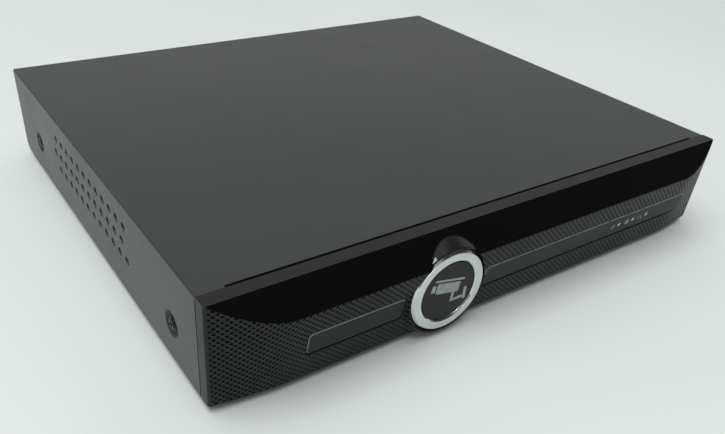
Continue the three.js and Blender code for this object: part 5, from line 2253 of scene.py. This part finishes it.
@dataclass
class NetworkSocket:
    """A shielded network socket with its keyed mouth, eight contacts and two light windows."""

    contacts: int = 8
    pitch: float = 1.02
    window: Flat = (2.6, 1.5)

    def form(self) -> Form:
        """Folds the shield: 0 nickel, 1 black plastic, 2 gold, 3 clear windows.

        Returns:
            The socket's form.
        """
        low, high = packed_box("ethernet_socket")
        x, foot = (low.x + high.x) / 2, low.z
        size = (high.x - low.x, high.z - low.z)
        outer = rectangle(*size, (x, (low.z + high.z) / 2), 0.5)
        form = Form().prism(outer, low.y, high.y, depthwise(), 0.2, 0.2)
        steps = ((6, 1.4), (6, 8.4), (3.2, 8.4), (3.2, 10.2), (1.7, 10.2), (1.7, 11.6))
        right = [Corner(x + a, foot + b, 0.2) for a, b in steps]
        left = [Corner(x - a, foot + b, 0.2) for a, b in reversed(steps)]
        mouth = rounded(right + left, 2, ring=True)[0]
        cuts = Form()
        face = high.y
        levels = ((0, face - 12), (0, face - 0.3), (-0.15, face + 0.01), (-0.15, face + 1))
        cuts.layers(mouth, levels, depthwise(), (1, 1, 1))
        panes = [rectangle(*self.window, (x + side * 5.6, foot + 11.6), 0.3) for side in (-1, 1)]
        for pane in panes:
            cuts.prism(pane, face - 2, face + 1, depthwise(), finishes=(1, 1, 1))
        form.combine(cuts, Cut.REMOVE)
        for pane in panes:
            small = inset(pane, 0.05)
            form.prism(small, face - 1.9, face - 0.12, depthwise(), 0.15, finishes=(3, 3, 3))
        for i in range(self.contacts):
            at = x + (i - (self.contacts - 1) / 2) * self.pitch
            wire = [(face - 12.1, foot + 1.3), (face - 2.2, foot + 1.3), (face - 2, foot + 1.5)]
            wire += [(face - 2.2, foot + 1.85), (face - 12.1, foot + 3.7)]
            sections = [[Vector((at + s, y, z)) for y, z in wire] for s in (-0.2, 0.2)]
            form.skin(sections, (2,), ring=True, caps=(2, 2))
        return form

    def dress(self) -> None:
        """Makes the network socket."""
        made = (NickelPlate(), BlackNylon(), GoldPlate(), DiffuserPolycarbonate())
        self.form().piece("ethernet_folded", made, "nickel", ("ethernet_socket",))


@dataclass
class MonitorSocket:
    """A 15-pin monitor socket: drawn D collar, hex posts and a blue insert."""

    mouth: Flat = (17.4, 8.6)
    post_span: float = 12.5
    post: float = 2.6
    wall: float = 0.6
    hole: float = 0.45
    pitch: Flat = (2.29, 1.98)

    def collar(self, centre: Flat, inward: float) -> list[Flat]:
        """The D outline, wider at the top, shrunk by a distance.

        Args:
            centre: its middle, as (x, z).
            inward: the distance.

        Returns:
            The outline's points.
        """
        (x, z), (width, height) = centre, self.mouth
        corners = [
            Corner(x - width / 2 + 1.5, z - height / 2, 1.6),
            Corner(x + width / 2 - 1.5, z - height / 2, 1.6),
            Corner(x + width / 2, z + height / 2, 2.0),
            Corner(x - width / 2, z + height / 2, 2.0),
        ]
        return inset(rounded(corners, 5, ring=True)[0], inward)

    def shell_form(self) -> Form:
        """Draws the collar, and adds flange, body and posts.

        Returns:
            The shell's form.
        """
        low, high = packed_box("vga_shell")
        x, z = (low.x + high.x) / 2, low.z + 6.5
        flange = (high.y - 7.5, high.y - 6.3)
        form = Form().block((low.x, flange[0], low.z), (high.x, flange[1], low.z + 13), 0.3)
        body = Form().block(
            (low.x + 0.4, low.y, low.z), (high.x - 0.4, flange[0] + 0.5, low.z + 11), 0.3
        )
        form.combine(body, Cut.JOIN)
        collar = Form().prism(self.collar((x, z), 0), flange[0], high.y, depthwise(), 0.25)
        form.combine(collar, Cut.JOIN)
        well = self.collar((x, z), self.wall)
        face = high.y
        levels = ((0, flange[0] - 2), (0, face - 0.2), (-0.15, face + 0.01), (-0.15, face + 1))
        form.combine(Form().layers(well, levels, depthwise()), Cut.REMOVE)
        for side in (-1, 1):
            at = (x + side * self.post_span, z)
            nose = high.y - 1.5
            post = Form().prism(circle(self.post, at, 6), flange[0], nose, depthwise(), 0.35)
            bore = Form()
            profile = [(0, nose - 3), (1.2, nose - 3)]
            for k in range(5):
                profile += [(1.4, nose - 2.75 + k * 0.5), (1.2, nose - 2.5 + k * 0.5)]
            profile += [(1.6, nose + 0.01), (1.6, nose + 1), (0, nose + 1)]
            bore.lathe(profile, facing((at[0], 0, at[1]), (0, 1, 0)), 24)
            form.combine(post.combine(bore, Cut.REMOVE), Cut.JOIN)
        return form

    def insert_form(self) -> Form:
        """Moulds the blue insert with its fifteen holes: 0 blue, 1 gold.

        Returns:
            The insert's form.
        """
        low, high = packed_box("vga_shell")
        x, z = (low.x + high.x) / 2, low.z + 6.5
        back, face = high.y - 9.2, high.y - 0.4
        outline = self.collar((x, z), self.wall + GAP)
        form = Form().prism(outline, back, face, depthwise(), 0.25, 0.2)
        cuts = Form()
        for row in range(3):
            for column in range(5):
                at = (
                    x - 4.6 + column * self.pitch[0] - (0.6 if row == 1 else 0),
                    z + (1 - row) * self.pitch[1],
                )
                rows = ((self.hole, -3.0), (self.hole, -0.2), (self.hole + 0.2, 0.01))
                rows = (*rows, (self.hole + 0.2, 1.0))
                sections = [
                    [Vector((a, face + h, b)) for a, b in circle(r, at, 14)] for r, h in rows
                ]
                cuts.skin(sections, (1,), ring=True, caps=(1, 1))
        return form.combine(cuts, Cut.REMOVE)

    def dress(self) -> None:
        """Makes the shell and the insert."""
        self.shell_form().piece("vga_drawn", (NickelPlate(),), "nickel", ("vga_shell",))
        made = (BlueNylon(), GoldPlate())
        self.insert_form().piece("vga_moulded", made, "vga_blue", ("vga_insert",))


@dataclass
class PowerInlet:
    """A barrel power inlet with its centre pin."""

    bore: float = 3.15
    pin: float = 1.0

    def form(self) -> Form:
        """Moulds the block: 0 black plastic, 1 nickel.

        Returns:
            The inlet's form.
        """
        outline, (x, z), back, face = rear_block("dc_socket", 0.5)
        form = Form().prism(outline, back, face, depthwise(), 0.3, 0.3)
        place = facing((x, face, z), (0, 1, 0))
        well = [
            (0, -9),
            (self.bore, -9),
            (self.bore, -0.5),
            (self.bore + 0.35, 0.01),
            (self.bore + 0.35, 1),
            (0, 1),
        ]
        form.combine(Form().lathe(well, place, 48, (0, 1, 0)), Cut.REMOVE)
        pin = [Corner(0, -10), Corner(self.pin, -10), Corner(self.pin, -0.9, 0.6), Corner(0, -0.8)]
        return form.lathe(rounded(pin, 5)[0], place, 28, (1,))

    def dress(self) -> None:
        """Makes the inlet."""
        made = (BlackNylon(), NickelPlate())
        self.form().piece("dc_moulded", made, "socket_plastic", ("dc_socket",))


@dataclass
class PowerSwitch:
    """A snap-in rocker switch: flanged housing, blades and the rocker with its two marks."""

    radius: float = 6.0
    width: float = 7.4
    tilt: float = 13.0
    rim: float = 1.3
    pivot_back: float = 1.2  # pivot behind the housing's face

    def housing(self) -> Form:
        """Moulds the housing: 0 black plastic, 1 nickel blades.

        Returns:
            The housing's form.
        """
        flange, (x, z), back, face = rear_block("switch_housing", 1.0)
        form = Form().prism(flange, face - self.rim, face, depthwise(), 0.5, 0.1)
        body = rectangle(self.width + 2, 2 * self.radius + 2, (x, z), 0.3)
        form.combine(Form().prism(body, back + 7, face - 0.5, depthwise(), 0, 0.4), Cut.JOIN)
        well = rectangle(self.width + 0.6, 2 * self.radius + 0.6, (x, z), 0.1)
        pivot = face - self.pivot_back
        levels = ((0, pivot - 4), (0, face - 0.25), (-0.2, face + 0.01), (-0.2, face + 1))
        form.combine(Form().layers(well, levels, depthwise()), Cut.REMOVE)
        for side in (-1, 1):
            blade = rectangle(4.8, 0.8, (x, z + side * 3), 0.1)
            form.prism(blade, back, back + 8, depthwise(), 0, 0.3, (1, 1, 1))
        return form

    def rocker(self) -> Form:
        """Moulds the rocker, tilted to off, with a bar and a ring marked on it: 0 black, 1 white.

        Returns:
            The rocker's form.
        """
        low, high = packed_box("power_rocker")
        body, housing = (low + high) / 2, packed_box("switch_housing")
        z = (housing[0].z + housing[1].z) / 2
        pivot = Vector((body.x, housing[1].y - self.pivot_back, z))
        place = Matrix.Translation(pivot) @ Matrix.Rotation(math.radians(self.tilt), 4, "X")

        def arc(start: float, end: float, steps: int = 10) -> list[Flat]:
            """The rocker's round back between two angles in degrees."""
            angles = [math.radians(start + (end - start) * i / steps) for i in range(steps + 1)]
            return [(self.radius * math.sin(a), self.radius * math.cos(a)) for a in angles]

        top = math.radians(38)
        crest = self.radius * math.sin(top)
        half_span = self.radius * math.cos(top)
        dip = crest - half_span * math.tan(math.radians(self.tilt))
        hollow = [(dip + (crest - dip) * t**1.6, half_span * t) for t in (0.75, 0.5, 0.25)]
        up = hollow + [(dip, 0)] + [(a, -b) for a, b in reversed(hollow)]
        outline = [*arc(-15, 38), *up, *arc(142, 195)]
        half, edge = self.width / 2, 0.25
        levels = ((-half, edge), (edge - half, 0), (half - edge, 0), (half, edge))
        sections = []
        for x, small in levels:
            shares = [(a, b, small / max(math.hypot(a, b), 0.1)) for a, b in outline]
            sections.append([place @ Vector((x, a - a * s, b - b * s)) for a, b, s in shares])
        form = Form().skin(sections, (0,), ring=True, caps=(0, 0))
        lean = math.atan2(crest - dip, half_span)
        for side in (-1, 1):
            reach = half_span * 0.55
            out = dip + (crest - dip) * 0.55**1.6
            normal = Vector((0, math.cos(lean), -side * math.sin(lean)))
            spot = place @ facing((0, out, side * reach), normal, (0, 0, 1))
            if side > 0:
                form.prism(rectangle(0.5, 2.0), -0.3, 0.03, spot, finishes=(1, 1, 1))
            else:
                ring = [(0.65, -0.3), (1.0, -0.3), (1.0, 0.03), (0.65, 0.03), (0.65, -0.3)]
                form.lathe(ring, spot, 28, (1,))
        return form

    def dress(self) -> None:
        """Makes the housing and the rocker, which turns with its own body."""
        plain = (BlackNylon(), NickelPlate())
        self.housing().piece("switch_moulded", plain, "socket_plastic", ("switch_housing",))
        marked = (PolishedAbs(), WhiteNylon())
        self.rocker().piece("rocker_moulded", marked, "strip_plastic", ("power_rocker",), "rocker")


# ---- studio


@dataclass
class Studio:
    """Pale floor, soft light and the camera."""

    floor_size: float = 6.0
    bright_way: tuple[float, float, float] = (0, 0.35, 0.94)  # up, and a little to the rear
    dark_way: tuple[float, float, float] = (0.62, -0.63, 0.46)  # what the polished band mirrors
    camera_at: tuple[float, float, float] = (-0.1940, -0.2612, 0.1730)
    azimuth: float = -36.41
    elevation: float = 34.75
    roll: float = 4.37
    lens: float = 35.08
    shift: Flat = (0.033, 0.070)

    def floor(self) -> None:
        """Lays a pale sweep of seamless card."""
        half = self.floor_size / 2
        mesh = bpy.data.meshes.new("studio_floor")
        corners = [(-half, -half, 0), (half, -half, 0), (half, half, 0), (-half, half, 0)]
        mesh.from_pydata(corners, [], [(0, 1, 2, 3)])
        mesh.materials.append(SeamlessCard().material())
        floor = bpy.data.objects.new("studio_floor", mesh)
        bpy.context.scene.collection.objects.link(floor)

    def room(self) -> None:
        """Lights the room: bright overhead, dark round the horizon and behind the camera."""
        world = bpy.data.worlds.new("studio_room")
        bpy.context.scene.world = world
        world.use_nodes = True
        tree = world.node_tree
        tree.nodes.clear()
        way = add_node(tree, "ShaderNodeTexCoord").outputs["Generated"]
        shares = []
        for axis, span in (
            (self.bright_way, {"From Min": 0.0, "From Max": 0.9, "To Min": 0.3, "To Max": 0.75}),
            (self.dark_way, {"From Min": 0.78, "From Max": 0.92, "To Min": 1.0, "To Max": 0.13}),
        ):
            along = add_node(
                tree,
                "ShaderNodeVectorMath",
                {1: Vector(axis).normalized()},
                {0: way},
                operation="DOT_PRODUCT",
            ).outputs["Value"]
            share = add_node(
                tree, "ShaderNodeMapRange", span, {"Value": along}, interpolation_type="SMOOTHSTEP"
            )
            shares.append(share.outputs["Result"])
        light = add_node(
            tree, "ShaderNodeMath", {}, dict(enumerate(shares)), operation="MULTIPLY"
        ).outputs[0]
        sky = add_node(tree, "ShaderNodeBackground", {0: linear("f3f4f1")}, {"Strength": light})
        add_node(tree, "ShaderNodeOutputWorld", {}, {"Surface": sky.outputs[0]})

    def lamp(self, name: str, at: Sequence[float], size: float, power: float, colour: str) -> None:
        """Hangs a square soft box that faces the recorder.

        Args:
            name: the lamp's name.
            at: its place in metres.
            size: its side in metres.
            power: its power in watts.
            colour: sRGB hex of its light.
        """
        light = bpy.data.lights.new(name, "AREA")
        light.size, light.energy, light.color = size, power, linear(colour)[:3]
        lamp = bpy.data.objects.new(name, light)
        lamp.matrix_world = facing(at, at)
        bpy.context.scene.collection.objects.link(lamp)

    def lamps(self) -> None:
        """Hangs the soft boxes."""
        self.lamp("key_box", (-0.5, -0.05, 2.0), 1.4, 20, "fbfbfb")
        self.lamp("window_box", (-0.63, -1.11, 2.14), 0.6, 9, "ffffff")
        self.lamp("edge_box", (-0.2, -2.4, 0.26), 0.7, 12, "ffffff")

    def camera(self) -> None:
        """Stands the camera."""
        az, el = math.radians(self.azimuth), math.radians(self.elevation)
        back = Vector((math.sin(az) * math.cos(el), -math.cos(az) * math.cos(el), math.sin(el)))
        basis = facing(self.camera_at, back, spin=math.radians(self.roll))
        data = bpy.data.cameras.new("camera")
        data.lens, data.sensor_width = self.lens, 36.0
        data.shift_x, data.shift_y = self.shift
        data.clip_start = 0.01
        camera = bpy.data.objects.new("camera", data)
        camera.matrix_world = basis
        bpy.context.scene.collection.objects.link(camera)
        bpy.context.scene.camera = camera

    def dress(self) -> None:
        """Sets floor, light and camera, and shows colours as they are."""
        bpy.context.scene.view_settings.view_transform = "Standard"
        self.floor()
        self.room()
        self.lamps()
        self.camera()


# ---- assembly


def main() -> None:
    """Builds the looks, piece by piece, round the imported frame."""
    logging.basicConfig(level=logging.INFO, format="%(name)s: %(message)s")
    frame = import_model()
    case = CaseFrame.read()
    bezel = Bezel(case)
    Studio().dress()
    Cover(case).dress()
    bezel.dress()
    Badge(bezel).dress()
    Strips(bezel).dress()
    Feet().dress()
    PackedParts(frame["nodes"]).dress()
    for i in range(1, 5):
        PanScrew(Drive.DISK).fit(f"disk_screw_{i}", (0, 0, -1), 0.5 * i, "zinc_screws")
        PanScrew(Drive.BOARD).fit(f"board_screw_{i}", (0, 0, 1), 0.7 * i, "zinc_screws")
    VideoSocket().dress()
    AudioSockets().dress()
    for kind in Shell:
        ShellSocket(kind).dress()
    NetworkSocket().dress()
    MonitorSocket().dress()
    PowerInlet().dress()
    PowerSwitch().dress()


if __name__ == "__main__":
    main()
